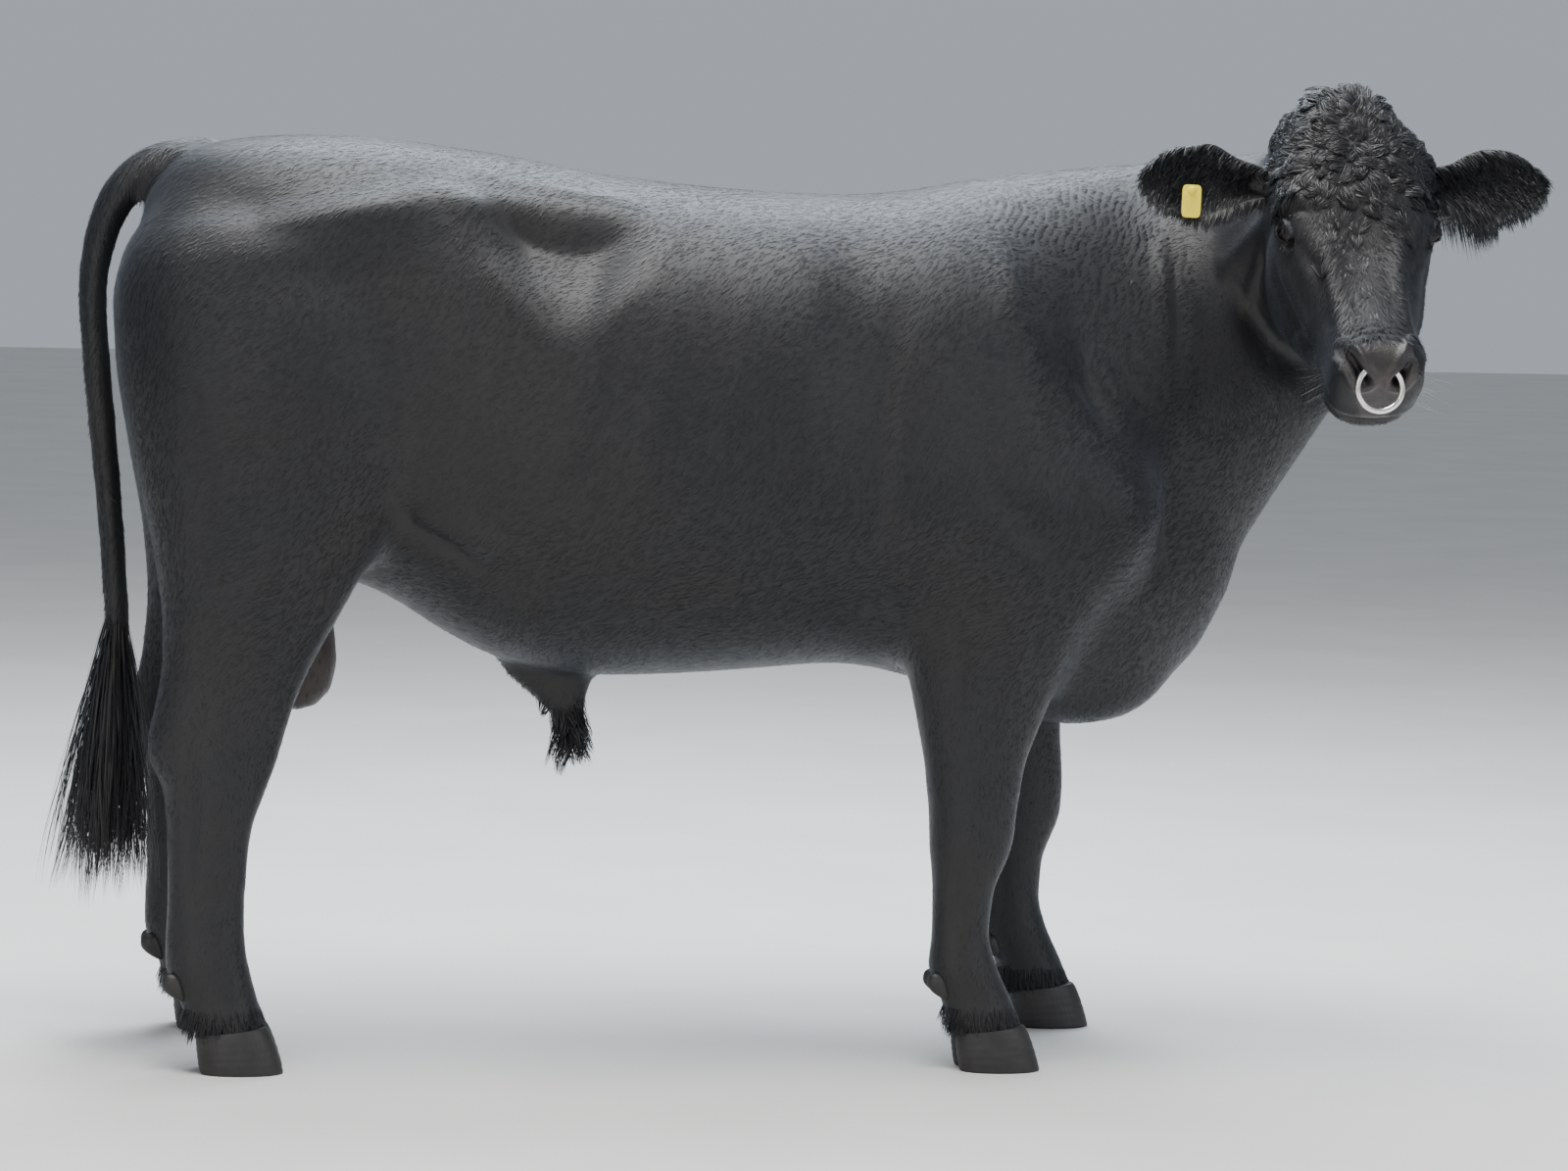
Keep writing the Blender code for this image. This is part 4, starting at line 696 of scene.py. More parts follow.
def in_box(points, low, high):
    """True for the points inside a box."""
    return ((points > np.array(low)) & (points < np.array(high))).all(axis=1)


def bell(distance, width):
    """1 in the middle, falling off smoothly on both sides."""
    return np.exp(-(distance / width) ** 2)


def unit(vectors):
    return vectors / np.maximum(np.linalg.norm(vectors, axis=-1, keepdims=True), 1e-9)


def mesh_points(mesh, kind="co"):
    values = np.empty(len(mesh.vertices) * 3)
    if kind == "normal":
        mesh.vertex_normals.foreach_get("vector", values)
    else:
        mesh.vertices.foreach_get("co", values)
    return values.reshape(-1, 3)


def set_points(mesh, points):
    mesh.vertices.foreach_set("co", np.ascontiguousarray(points).ravel())
    mesh.update()


def line_distance(places, line):
    """Distance from each place to a polyline, and how far along it the nearest point lies, from 0 to 1."""
    line = np.asarray(line, float)
    best = np.full(len(places), 1e9)
    along = np.zeros(len(places))
    for k, (a, b) in enumerate(zip(line[:-1], line[1:])):
        span = b - a
        t = np.clip((places - a) @ span / (span @ span), 0.0, 1.0)
        d = np.linalg.norm(places - a - t[:, None] * span, axis=1)
        near = d < best
        best[near] = d[near]
        along[near] = (k + t[near]) / (len(line) - 1)
    return best, along


def head_mask(points):
    """1 on the head, falling to 0 down the neck."""
    local = from_head(points)
    return (ease(local[:, 2], -0.075, -0.005) * ease(local[:, 1], -0.36, -0.30)
            * (1.0 - ease(np.abs(local[:, 0]), 0.19, 0.24)))


def skin_weight(points):
    mask = head_mask(points)
    return trunk_weight(points) * (1.0 - mask) + HEAD_SHARE * mask


# Folds and ridges of the body, mirrored on the left: line of points, half width, height along the normal
BODY_LINES = (
    (((-0.985, -0.205, 1.262), (-0.887, -0.238, 1.280), (-0.756, -0.243, 1.300), (-0.640, -0.254, 1.322),
      (-0.580, -0.250, 1.335)), 0.026, 0.009),
    (((-0.520, -0.170, 1.362), (-0.400, -0.185, 1.346), (-0.300, -0.190, 1.332),
      (-0.240, -0.195, 1.326)), 0.015, 0.006),
    (((-1.060, -0.190, 1.205), (-0.940, -0.235, 1.232), (-0.820, -0.257, 1.250), (-0.700, -0.265, 1.262),
      (-0.580, -0.265, 1.270)), 0.048, 0.015),
    (((-0.840, -0.240, 1.284), (-0.730, -0.246, 1.298), (-0.640, -0.247, 1.318), (-0.560, -0.240, 1.320),
      (-0.470, -0.240, 1.285)), 0.046, 0.012),
    (((-0.640, -0.236, 1.338), (-0.551, -0.230, 1.336), (-0.500, -0.228, 1.305), (-0.455, -0.248, 1.251),
      (-0.390, -0.310, 1.170)), 0.024, 0.010),
    (((-0.300, -0.300, 1.250), (-0.330, -0.340, 1.120), (-0.370, -0.330, 0.950),
      (-0.390, -0.300, 0.820)), 0.020, 0.0030),
    (((-0.200, -0.300, 1.250), (-0.220, -0.350, 1.120), (-0.255, -0.350, 0.950),
      (-0.280, -0.320, 0.800)), 0.020, 0.0026),
    (((-0.100, -0.300, 1.240), (-0.115, -0.350, 1.120), (-0.140, -0.360, 0.950),
      (-0.165, -0.330, 0.800)), 0.020, 0.0022),
    (((0.000, -0.290, 1.230), (-0.010, -0.340, 1.120), (-0.030, -0.350, 0.950),
      (-0.050, -0.320, 0.800)), 0.020, 0.0018),
    (((0.140, -0.290, 1.230), (0.105, -0.320, 1.080), (0.095, -0.330, 0.920),
      (0.130, -0.320, 0.790)), 0.026, -0.008),
    (((0.400, -0.220, 1.280), (0.425, -0.260, 1.150), (0.455, -0.270, 1.020),
      (0.500, -0.265, 0.930)), 0.026, -0.008),
    (((0.300, -0.220, 1.330), (0.310, -0.270, 1.180), (0.350, -0.300, 1.040)), 0.030, 0.008),
    (((0.405, -0.266, 1.100), (0.435, -0.262, 1.040), (0.470, -0.262, 0.985)), 0.012, -0.005),
    (((0.460, -0.235, 1.150), (0.500, -0.240, 1.090), (0.545, -0.240, 1.035)), 0.012, -0.005),
    (((0.435, -0.250, 1.120), (0.470, -0.250, 1.060), (0.505, -0.255, 1.005)), 0.012, 0.004),
    (((0.250, -0.310, 0.930), (0.330, -0.320, 0.850), (0.400, -0.300, 0.790)), 0.028, -0.007),
    (((0.560, -0.230, 0.950), (0.572, -0.225, 0.880), (0.572, -0.206, 0.800),
      (0.516, -0.222, 0.738)), 0.020, -0.012),
    (((-0.625, -0.255, 0.880), (-0.600, -0.240, 0.828), (-0.551, -0.245, 0.806),
      (-0.480, -0.230, 0.765)), 0.020, -0.015),
    (((-0.560, -0.265, 0.850), (-0.500, -0.270, 0.815), (-0.430, -0.270, 0.780)), 0.024, 0.007),
    (((-0.905, -0.250, 1.150), (-0.920, -0.270, 1.000), (-0.915, -0.270, 0.850),
      (-0.905, -0.250, 0.720)), 0.024, -0.007),
    (((-0.760, -0.280, 0.900), (-0.800, -0.270, 0.780), (-0.850, -0.245, 0.660)), 0.030, 0.006),
    (((-0.900, -0.235, 0.600), (-0.925, -0.230, 0.480), (-0.930, -0.228, 0.360),
      (-0.925, -0.225, 0.240)), 0.010, -0.005),
    (((-0.940, -0.160, 0.600), (-0.945, -0.160, 0.480), (-0.940, -0.160, 0.300)), 0.010, -0.004),
    (((0.248, -0.240, 0.340), (0.246, -0.232, 0.260), (0.248, -0.228, 0.200)), 0.009, -0.0045),
    (((0.230, -0.290, 0.720), (0.235, -0.265, 0.600), (0.240, -0.250, 0.480)), 0.014, -0.005),
    (((0.330, -0.300, 0.740), (0.315, -0.270, 0.600), (0.300, -0.255, 0.480)), 0.020, 0.005),
)
# Hollows of the flanks under the loin's edge: ends of the upper edge (x, height), depth, reach below the edge
HOLLOW_EDGE = ((-0.510, 1.340), (-0.250, 1.320))
HOLLOW_DEPTH = 0.034
HOLLOW_HEIGHT = (0.042, 0.034)
# Upright folds of the neck's right side where the head turns:
# place along X, lean, lower end, upper end, half width, height along the normal
NECK_FOLDS = ((0.558, 0.000, 1.10, 1.31, 0.010, 0.0040), (0.577, 0.004, 1.10, 1.31, 0.007, -0.0026),
              (0.598, 0.006, 1.08, 1.31, 0.010, 0.0036), (0.618, 0.008, 1.04, 1.31, 0.008, -0.0034),
              (0.640, 0.008, 1.02, 1.32, 0.010, 0.0044), (0.660, 0.010, 1.02, 1.32, 0.008, -0.0036),
              (0.680, 0.010, 1.02, 1.33, 0.011, 0.0050), (0.715, 0.012, 1.04, 1.32, 0.011, 0.0036))
# Places along X of the flesh's bumps that the folds and hollows above replace
SMOOTHED = (-0.410, -0.570, -0.520, -0.615)
WRINKLE_LENGTH = 0.0125
WRINKLE_HEIGHT = 0.0011


def body_relief(points, normals):
    """Height of the folds, ridges and hollows of the body along the surface normal."""
    height = np.zeros(len(points))
    folded = points.copy()
    folded[:, 1] = -np.abs(points[:, 1])
    left = points[:, 1] > 0
    fore = np.interp(points[:, 2], [k[0] for k in LEFT_FORE_SHIFT], [k[1] for k in LEFT_FORE_SHIFT])
    hind = np.interp(points[:, 2], [k[0] for k in LEFT_HIND_SHIFT], [k[1] for k in LEFT_HIND_SHIFT])
    folded[:, 0] -= np.where(left & (points[:, 0] > -0.2), fore, 0.0)
    folded[:, 0] -= np.where(left & (points[:, 0] < -0.4), hind, 0.0)
    for line, width, amount in BODY_LINES:
        distance, along = line_distance(folded, line)
        height += amount * bell(distance, width) * np.sin(np.pi * along)
    (first, high), (last, low) = HOLLOW_EDGE
    share = (points[:, 0] - first) / (last - first)
    below = high + (low - high) * share - points[:, 2]
    deep = below / (HOLLOW_HEIGHT[0] + HOLLOW_HEIGHT[1] * np.sin(np.pi * np.clip(share, 0.0, 1.0)) ** 2)
    inside = ease(share, -0.10, 0.32) * (1.0 - ease(share, 0.62, 1.10))
    inside = inside * ease(np.abs(normals[:, 1]), 0.10, 0.40)
    height -= HOLLOW_DEPTH * inside * ease(deep, -0.12, 0.80) * (1.0 - ease(deep, 0.75, 3.0))
    side = ease(-normals[:, 1], 0.25, 0.6) * (points[:, 1] < 0.0)
    flat = points * np.array((1.0, 0.0, 1.0))
    for x, lean, low, high, width, amount in NECK_FOLDS:
        line = ((x + lean, 0.0, low), (x + lean * 0.4, 0.0, (low + high) / 2), (x, 0.0, high))
        distance, along = line_distance(flat, line)
        height += amount * bell(distance, width) * np.sin(np.pi * (0.05 + 0.9 * along)) * side
    return height


def crest_wrinkles(points):
    """Height and slope along X of the fine upright wrinkles over the crest of the neck."""
    where = ease(points[:, 0], 0.26, 0.36) * (1.0 - ease(points[:, 0], 0.56, 0.64))
    where = where * ease(points[:, 2], 1.16, 1.27) * (1.0 - ease(points[:, 2], 1.355, 1.385))
    bend = 0.012 * np.sin(points[:, 2] * 31.0) + 0.006 * np.sin(points[:, 2] * 83.0 + points[:, 0] * 20.0)
    angle = 2.0 * np.pi * (points[:, 0] + bend) / WRINKLE_LENGTH
    uneven = 0.6 + 0.4 * np.sin(points[:, 2] * 57.0 + points[:, 0] * 41.0)
    height = WRINKLE_HEIGHT * where * uneven
    return height * np.sin(angle), height * np.cos(angle) * 2.0 * np.pi / WRINKLE_LENGTH


def build_skin(group):
    """The flesh as one closed skin, from the same sections as the solids, laid in by the coat's depth."""
    shapes = [trunk_shape(group), neck_shape(group)] + brisket_shapes(group) + head_shapes(group)
    for side, word in SIDES:
        shapes.append(leg_shape("hind_" + word, HIND_LEG, side, LEFT_HIND_SHIFT, group))
        shapes.append(leg_shape("fore_" + word, FORE_LEG, side, LEFT_FORE_SHIFT, group))
    skin = join_shapes("skin", shapes, group)
    remesh(skin, SKIN_VOXEL)
    relax(skin, SKIN_PASSES, skin_weight)
    add_relief(skin, [bump for bump in RELIEF if bump[0][0] not in SMOOTHED])
    add_relief(skin, HEAD_RELIEF, from_head)
    extra = []
    for name, stations in (("sheath", SHEATH_STATIONS), ("scrotum", SCROTUM_STATIONS)):
        rings = [ring_points((x, 0, height), (0, 1, 0), (1, 0, 0), half_y, half_x, half_x, 2.0, 2.0, 24)
                 for height, x, half_x, half_y in stations]
        extra.append(loft(name, rings, group))
    extra.append(tube("tail", TAIL_PATH, TAIL_RADII, group, None, 3, True, 4))
    for side in (-1, 1):
        along, _, hollow = ear_frame(side)
        root = Vector(mirrored(EAR_ROOT, side))
        path = [on_head(root - along * 0.045 - hollow * 0.004), on_head(root), on_head(root + along * 0.030)]
        extra.append(tube("ear_root", path, (0.032, 0.027, 0.012), group, None, 3, True, 3))
    skin = join_shapes("skin", [skin] + extra, group)
    remesh(skin, SKIN_VOXEL)
    relax(skin, 5, lambda points: np.full(len(points), 0.35))
    mesh = skin.data
    points, normals = mesh_points(mesh), mesh_points(mesh, "normal")
    mask = head_mask(points)
    feet = 1.0 - ease(points[:, 2], 0.30, 0.62)
    depth = BODY_COAT_DEPTH + (FACE_COAT_DEPTH - BODY_COAT_DEPTH) * np.maximum(mask, feet)
    set_points(mesh, points + normals * (body_relief(points, normals) * (1.0 - mask) - depth)[:, None])
    moved = mesh_points(mesh)
    pouch = (1.0 - ease(moved[:, 2], 0.69, 0.76)) * (np.abs(moved[:, 0] + 0.768) < 0.085)
    pouch = pouch * (np.abs(moved[:, 1]) < 0.075)
    add_mask(mesh, "pouch", np.arange(len(moved)), pouch * (moved[:, 2] > 0.50))
    return skin


def map_skin(skin):
    """Unwraps the skin's own shape for the coat's patches."""
    bpy.ops.object.select_all(action="DESELECT")
    skin.select_set(True)
    bpy.context.view_layer.objects.active = skin
    skin.data.uv_layers.new(name="OFBake")
    bpy.ops.object.mode_set(mode="EDIT")
    bpy.ops.mesh.select_all(action="SELECT")
    bpy.ops.uv.smart_project(angle_limit=math.radians(66.0), island_margin=0.002)
    bpy.ops.object.mode_set(mode="OBJECT")


def split_faces(mesh, choose, cuts):
    """Splits the faces whose middles are chosen."""
    bm = bmesh.new()
    bm.from_mesh(mesh)
    chosen = choose(np.array([face.calc_center_median() for face in bm.faces]))
    edges = {edge for face, take in zip(bm.faces, chosen) if take for edge in face.edges}
    bmesh.ops.subdivide_edges(bm, edges=list(edges), cuts=cuts, use_grid_fill=True)
    bm.to_mesh(mesh)
    bm.free()


def refine_part(skin, low, high, cuts, passes, share, fade):
    """Splits the faces of a box of the head, then evens them out ahead of a place along the nose."""
    split_faces(skin.data, lambda middles: in_box(from_head(middles), low, high), cuts)
    def strength(points):
        return share * ease(from_head(points)[:, 2], *fade) * (head_mask(points) > 0.5)
    relax(skin, passes, strength)


# Folds of the face, mirrored: face of the head (top or side), line of places, half width, height
FACE_LINES = (
    ("top", ((0.076, 0.158), (0.098, 0.138), (0.124, 0.142), (0.142, 0.165)), 0.011, 0.0055),
    ("top", ((0.080, 0.176), (0.098, 0.158), (0.122, 0.158)), 0.005, -0.0020),
    ("top", ((0.100, 0.206), (0.088, 0.232), (0.072, 0.262)), 0.009, -0.0035),
    ("top", ((0.052, 0.225), (0.046, 0.300), (0.048, 0.370)), 0.014, 0.0040),
    ("top", ((0.076, 0.255), (0.066, 0.320), (0.066, 0.372)), 0.011, -0.0040),
    ("top", ((0.000, 0.386), (0.030, 0.389), (0.056, 0.399)), 0.0035, -0.0016),
    ("top", ((0.000, 0.398), (0.030, 0.402), (0.056, 0.412)), 0.0035, -0.0018),
    ("top", ((0.000, 0.411), (0.028, 0.415), (0.046, 0.424)), 0.0035, -0.0016),
    ("side", ((-0.050, 0.212), (-0.066, 0.270), (-0.078, 0.335)), 0.012, 0.0050),
    ("side", ((-0.084, 0.225), (-0.104, 0.290), (-0.112, 0.325)), 0.012, -0.0040),
    ("side", ((-0.096, 0.345), (-0.112, 0.322), (-0.135, 0.312)), 0.006, -0.0035),
    ("side", ((-0.088, 0.330), (-0.104, 0.306), (-0.130, 0.292)), 0.006, 0.0030),
    ("side", ((-0.120, 0.280), (-0.155, 0.262), (-0.185, 0.262)), 0.008, -0.0030),
    ("side", ((-0.020, 0.120), (-0.080, 0.105), (-0.150, 0.115), (-0.210, 0.160)), 0.018, 0.0060),
    ("side", ((-0.030, 0.150), (-0.080, 0.142), (-0.140, 0.155)), 0.014, -0.0035),
)
MUZZLE_FROM = 0.411
# Strength of the painted shade along the top of the bare pad
PAD_SHADE = 0.65
# Half width of the bare pad at heights from the lip to the nose
PAD_WIDTHS = ((-0.115, -0.090, -0.055, -0.025, 0.000), (0.020, 0.026, 0.038, 0.056, 0.046))
# Lips: distance from the line of the mouth, then half width and height of each
LIP_BAND = 0.014
UPPER_LIP = (0.010, 0.0034)
LOWER_LIP = (0.011, 0.0042)
NOSTRIL_LINE = ((0.026, -0.036, 0.460), (0.032, -0.028, 0.457), (0.040, -0.018, 0.449),
                (0.050, -0.011, 0.432), (0.059, -0.011, 0.416))
NOSTRIL_WIDTH = 0.0088
NOSTRIL_DEPTH = 0.022
NOSTRIL_RIM = 0.0036
MOUTH_HALF = 0.0030
MOUTH_CUT = 0.0075
# Eyes: half length and heights of the opening, and the lids round it
EYE_OPENING = (0.0185, 0.0106, 0.0090)
EYE_CUTS = 2
LID_THICK = 0.0022
LID_FOLD = 0.0016
LID_SINK = 0.0060
LID_REACH = 0.036


def mouth_height(local):
    """Brow-side height of the line of the mouth at each place of the muzzle."""
    turn = np.arctan2(np.abs(local[:, 0]), np.maximum(local[:, 2] - MOUTH_AT[2], 1e-4))
    return MOUTH_AT[1] + MOUTH_RISE * (turn / math.radians(MOUTH_SWEEP)) ** 2


def sculpt_face(skin):
    """Folds, nostrils, lips and eye hollows of the head, the bare muzzle's mask and painted shade in the
    nostrils.
    """
    mesh = skin.data
    points, normals = mesh_points(mesh), mesh_points(mesh, "normal")
    near = np.flatnonzero(head_mask(points) > 0.02)
    local = from_head(points[near])
    facing = normals[near] @ np.array(HEAD_TURN)
    half = local.copy()
    half[:, 0] = np.abs(half[:, 0])
    mask = head_mask(points[near])
    height = np.zeros(len(near))
    weights = {"top": ease(facing[:, 1] + 0.6 * facing[:, 2], 0.15, 0.55),
               "side": ease(np.abs(facing[:, 0]), 0.35, 0.70)}
    for which, line, width, amount in FACE_LINES:
        axes = [0, 2] if which == "top" else [1, 2]
        distance, along = line_distance(half[:, axes], line)
        ends = np.minimum(1.0, np.sin(np.pi * np.clip(0.10 + 0.80 * along, 0.0, 1.0)) * 1.6)
        if line[0][0] == 0.0:
            ends = 1.0 - along**3
        height += amount * bell(distance, width) * ends * weights[which]
    over = local[:, 1] - mouth_height(local)
    ahead = ease(local[:, 2], MOUTH_AT[2] - 0.020, MOUTH_AT[2] + 0.020)
    lips = UPPER_LIP[1] * bell(over - LIP_BAND, UPPER_LIP[0])
    lips = lips + LOWER_LIP[1] * bell(over + LIP_BAND, LOWER_LIP[0])
    height += ahead * (lips - MOUTH_CUT * bell(over, MOUTH_HALF))
    distance, along = line_distance(half, NOSTRIL_LINE)
    pit = np.exp(-((distance / (NOSTRIL_WIDTH * (1.10 - 0.62 * along))) ** 4)) * (1.0 - 0.70 * along)
    rim = bell(distance - NOSTRIL_WIDTH * 2.0, 0.0055)
    height += NOSTRIL_RIM * rim * (1.0 - pit)
    moved = points.copy()
    moved[near] += normals[near] * (height * mask)[:, None]
    inward = np.array(HEAD_TURN @ Vector((0.0, -0.35, -0.94)))
    moved[near] += inward * (NOSTRIL_DEPTH * pit * mask)[:, None]
    set_points(mesh, moved)
    bare = bare_muzzle(local, 0.022) * mask
    edges = np.clip(1.0 - np.abs(over) / 0.010, 0.0, 1.0)
    bare = np.maximum(bare, edges * ahead * mask)
    add_mask(mesh, "bare", near, bare)
    # Painted shade: the hollow mask darkens the nostril pits by their depth, and the top band of the pad
    top = PAD_SHADE * bare * ease(local[:, 1], -0.034, -0.010)
    add_mask(mesh, "hollow", near, np.maximum(np.clip(pit * 1.6, 0.0, 1.0) * mask, top))


def bare_muzzle(local, fade):
    """1 over the bare pad between and round the nostrils, which narrows down to the upper lip."""
    reach = np.interp(local[:, 1], *PAD_WIDTHS)
    width = (1.0 - ease(np.abs(local[:, 0]) - reach, -0.006, 0.006)) * ease(local[:, 1], -0.118, -0.106)
    ahead = local[:, 2] + 0.12 * np.clip(local[:, 1] + 0.02, -0.06, 0.03)
    return ease(ahead, MUZZLE_FROM, MUZZLE_FROM + fade) * width


def add_mask(mesh, name, chosen, values):
    layer = mesh.attributes.get(name) or mesh.attributes.new(name, "FLOAT", "POINT")
    whole = np.zeros(len(mesh.vertices))
    layer.data.foreach_get("value", whole)
    whole[chosen] = values
    layer.data.foreach_set("value", whole)


def eye_frame(side, word):
    """Centre of an eye and its axes: along the opening, to the brow and outward."""
    low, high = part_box("eye_" + word)
    centre = (Vector(low) + Vector(high)) / 2 + BOX_CENTRE
    outward = (HEAD_TURN @ Vector(mirrored(EYE_FACING, side)).normalized()).normalized()
    corner = HEAD_TURN @ Vector((-side * 0.40, -0.15, 0.90))
    corner = (corner - outward * corner.dot(outward)).normalized()
    brow = corner.cross(outward)
    if brow.dot(HEAD_TURN @ Vector((0.0, 1.0, 0.0))) < 0.0:
        brow = -brow
    return centre, np.array((corner, brow, outward))


def opening(along, across):
    """1 on the edge of the almond between the lids, less inside."""
    high = np.where(across > 0.0, EYE_OPENING[1], EYE_OPENING[2])
    return (np.abs(along / EYE_OPENING[0]) ** 1.8 + np.abs(across / high) ** 1.8) ** (1.0 / 1.8)


def open_eye(skin, centre, axes):
    """Draws the skin over the eyeball as lids with a margin, and sinks it behind the ball between them."""
    def beside(middles):
        out = (middles - np.array(centre)) @ axes.T
        return (np.hypot(out[:, 0], out[:, 1]) < LID_REACH + 0.004) & (out[:, 2] > -0.03)
    mesh = skin.data
    split_faces(mesh, beside, EYE_CUTS)
    points = mesh_points(mesh)
    local = (points - np.array(centre)) @ axes.T
    radial = np.hypot(local[:, 0], local[:, 1])
    near = np.flatnonzero((radial < LID_REACH) & (local[:, 2] > -0.03))
    a, b, out = local[near].T
    radial = radial[near]
    ball = np.sqrt(np.maximum(EYE_RADIUS**2 - radial**2, 1e-6))
    edge = opening(a, b)
    upper = ease(b, -0.002, 0.006)
    lid = ball + LID_THICK * (0.75 + 0.45 * upper)
    blend = ease(radial, EYE_RADIUS * 0.70, LID_REACH * 0.92)
    surface = np.maximum(lid, out) * (1.0 - blend) + out * blend
    surface = lid + (surface - lid) * ease(edge, 1.02, 1.9)
    crease = bell(edge - 1.42, 0.16) - 1.3 * bell(edge - 1.80, 0.13)
    surface += LID_FOLD * upper * crease
    surface -= 0.5 * LID_FOLD * (1.0 - upper) * bell(edge - 1.65, 0.16)
    inside = 1.0 - ease(edge, 0.94, 1.03)
    surface = surface * (1.0 - inside) + (ball - LID_SINK) * inside
    points[near] += np.outer(surface - out, axes[2])
    set_points(mesh, points)
    # Dark round the opening: the lids' own dark margins, with painted shade in the recess round the ball
    add_mask(mesh, "hollow", near, 1.0 - ease(edge, 1.18, 1.48))


def smooth(mesh):
    """Shades all faces of a mesh smoothly."""
    mesh.polygons.foreach_set("use_smooth", np.ones(len(mesh.polygons), dtype=bool))


def dress(item, material):
    """Leaves a piece with one material."""
    item.data.materials.clear()
    item.data.materials.append(material)


def make_eyeball(name, centre, axes):
    """Eyeball with a dark iris and a flat oval pupil."""
    bm = bmesh.new()
    bmesh.ops.create_uvsphere(bm, u_segments=64, v_segments=40, radius=EYE_RADIUS)
    turn = Matrix(axes.tolist()).transposed()
    bmesh.ops.transform(bm, matrix=Matrix.Translation(centre) @ turn.to_4x4(), verts=bm.verts)
    ball = add_object(name, mesh_from_bmesh(bm, name), None, EYE)
    mesh = ball.data
    smooth(mesh)
    flat = (mesh_points(mesh) - np.array(centre)) @ axes.T
    radial = np.hypot(flat[:, 0], flat[:, 1])
    add_mask(mesh, "iris", np.arange(len(flat)), (1.0 - ease(radial, *IRIS_EDGE)) * (flat[:, 2] > 0))
    pupil = np.hypot(flat[:, 0] / PUPIL[0], flat[:, 1] / PUPIL[1])
    add_mask(mesh, "pupil", np.arange(len(flat)), (1.0 - ease(pupil, 0.85, 1.1)) * (flat[:, 2] > 0))
    return ball


# Tones of the skin and eyes: place on the ramp and colour
SKIN_TONES = ((0.35, (0.0045, 0.0050, 0.0062)), (0.70, (0.0095, 0.0088, 0.0088)))
MUZZLE_TONES = ((0.30, (0.020, 0.017, 0.018)), (0.72, (0.062, 0.049, 0.045)))
RIM_TONES = ((0.3, (0.008, 0.006, 0.005)), (0.7, (0.018, 0.013, 0.011)))
IRIS_TONES = ((0.3, (0.006, 0.004, 0.003)), (0.7, (0.014, 0.008, 0.005)))
SHEEN_COLOUR = (0.62, 0.72, 0.90, 1.0)


def node_material(name):
    material = bpy.data.materials.new(name)
    material.use_nodes = True
    return material, material.node_tree, material.node_tree.nodes["Principled BSDF"]


def add_node(tree, kind, **values):
    """Adds a shader node, with its settings and the values of its input sockets."""
    node = tree.nodes.new(kind)
    for key, value in values.items():
        if key in node.inputs:
            node.inputs[key].default_value = value
        else:
            setattr(node, key, value)
    return node


def noise(tree, scale, detail=3.0, roughness=0.5, stretch=None):
    """A noise laid in the object's own space, stretched where stretch gives the scale on each axis."""
    place = add_node(tree, "ShaderNodeTexCoord")
    texture = add_node(tree, "ShaderNodeTexNoise", Scale=scale, Detail=detail, Roughness=roughness)
    mapping = add_node(tree, "ShaderNodeMapping")
    mapping.inputs["Scale"].default_value = stretch or (1.0, 1.0, 1.0)
    tree.links.new(place.outputs["Object"], mapping.inputs["Vector"])
    tree.links.new(mapping.outputs["Vector"], texture.inputs["Vector"])
    return texture


def ramp(tree, source, stops):
    node = tree.nodes.new("ShaderNodeValToRGB")
    elements = node.color_ramp.elements
    while len(elements) < len(stops):
        elements.new(0.5)
    for element, (place, colour) in zip(elements, stops):
        element.position = place
        element.color = (*colour, 1.0)
    tree.links.new(source, node.inputs["Fac"])
    return node


def bump(tree, shader, source, strength, distance):
    node = add_node(tree, "ShaderNodeBump", Strength=strength, Distance=distance)
    tree.links.new(source, node.inputs["Height"])
    tree.links.new(node.outputs["Normal"], shader.inputs["Normal"])
    return node


def coat_material(name, dark, light, roughness, sheen):
    """Black coat: two near-black tones over the body, varied from tuft to tuft, and a cool sheen."""
    material, tree, shader = node_material(name)
    tone = ramp(tree, noise(tree, 3.2, 4.0, 0.6).outputs["Fac"], ((0.35, dark), (0.70, light)))
    tufts = ramp(tree, noise(tree, 210.0, 2.0).outputs["Fac"], ((0.30, (0.45,) * 3), (0.72, (1.9,) * 3)))
    mix = add_node(tree, "ShaderNodeMix", data_type="RGBA", blend_type="MULTIPLY")
    sockets = {socket.identifier: socket for socket in list(mix.inputs) + list(mix.outputs)}
    sockets["Factor_Float"].default_value = 1.0
    tree.links.new(tone.outputs["Color"], sockets["A_Color"])
    tree.links.new(tufts.outputs["Color"], sockets["B_Color"])
    tree.links.new(sockets["Result_Color"], shader.inputs["Base Color"])
    shader.inputs["Roughness"].default_value = roughness
    shader.inputs["Specular IOR Level"].default_value = 0.35
    shader.inputs["Sheen Weight"].default_value = sheen
    shader.inputs["Sheen Roughness"].default_value = 0.45
    shader.inputs["Sheen Tint"].default_value = SHEEN_COLOUR
    return material


def plain_material(name, colour, roughness, metallic=0.0, spread=0.25, scale=40.0):
    """One colour with a soft noise over it."""
    material, tree, shader = node_material(name)
    low = tuple(value * (1.0 - spread) for value in colour)
    high = tuple(min(value * (1.0 + spread), 1.0) for value in colour)
    tone = ramp(tree, noise(tree, scale).outputs["Fac"], ((0.35, low), (0.65, high)))
    tree.links.new(tone.outputs["Color"], shader.inputs["Base Color"])
    shader.inputs["Roughness"].default_value = roughness
    shader.inputs["Metallic"].default_value = metallic
    return material


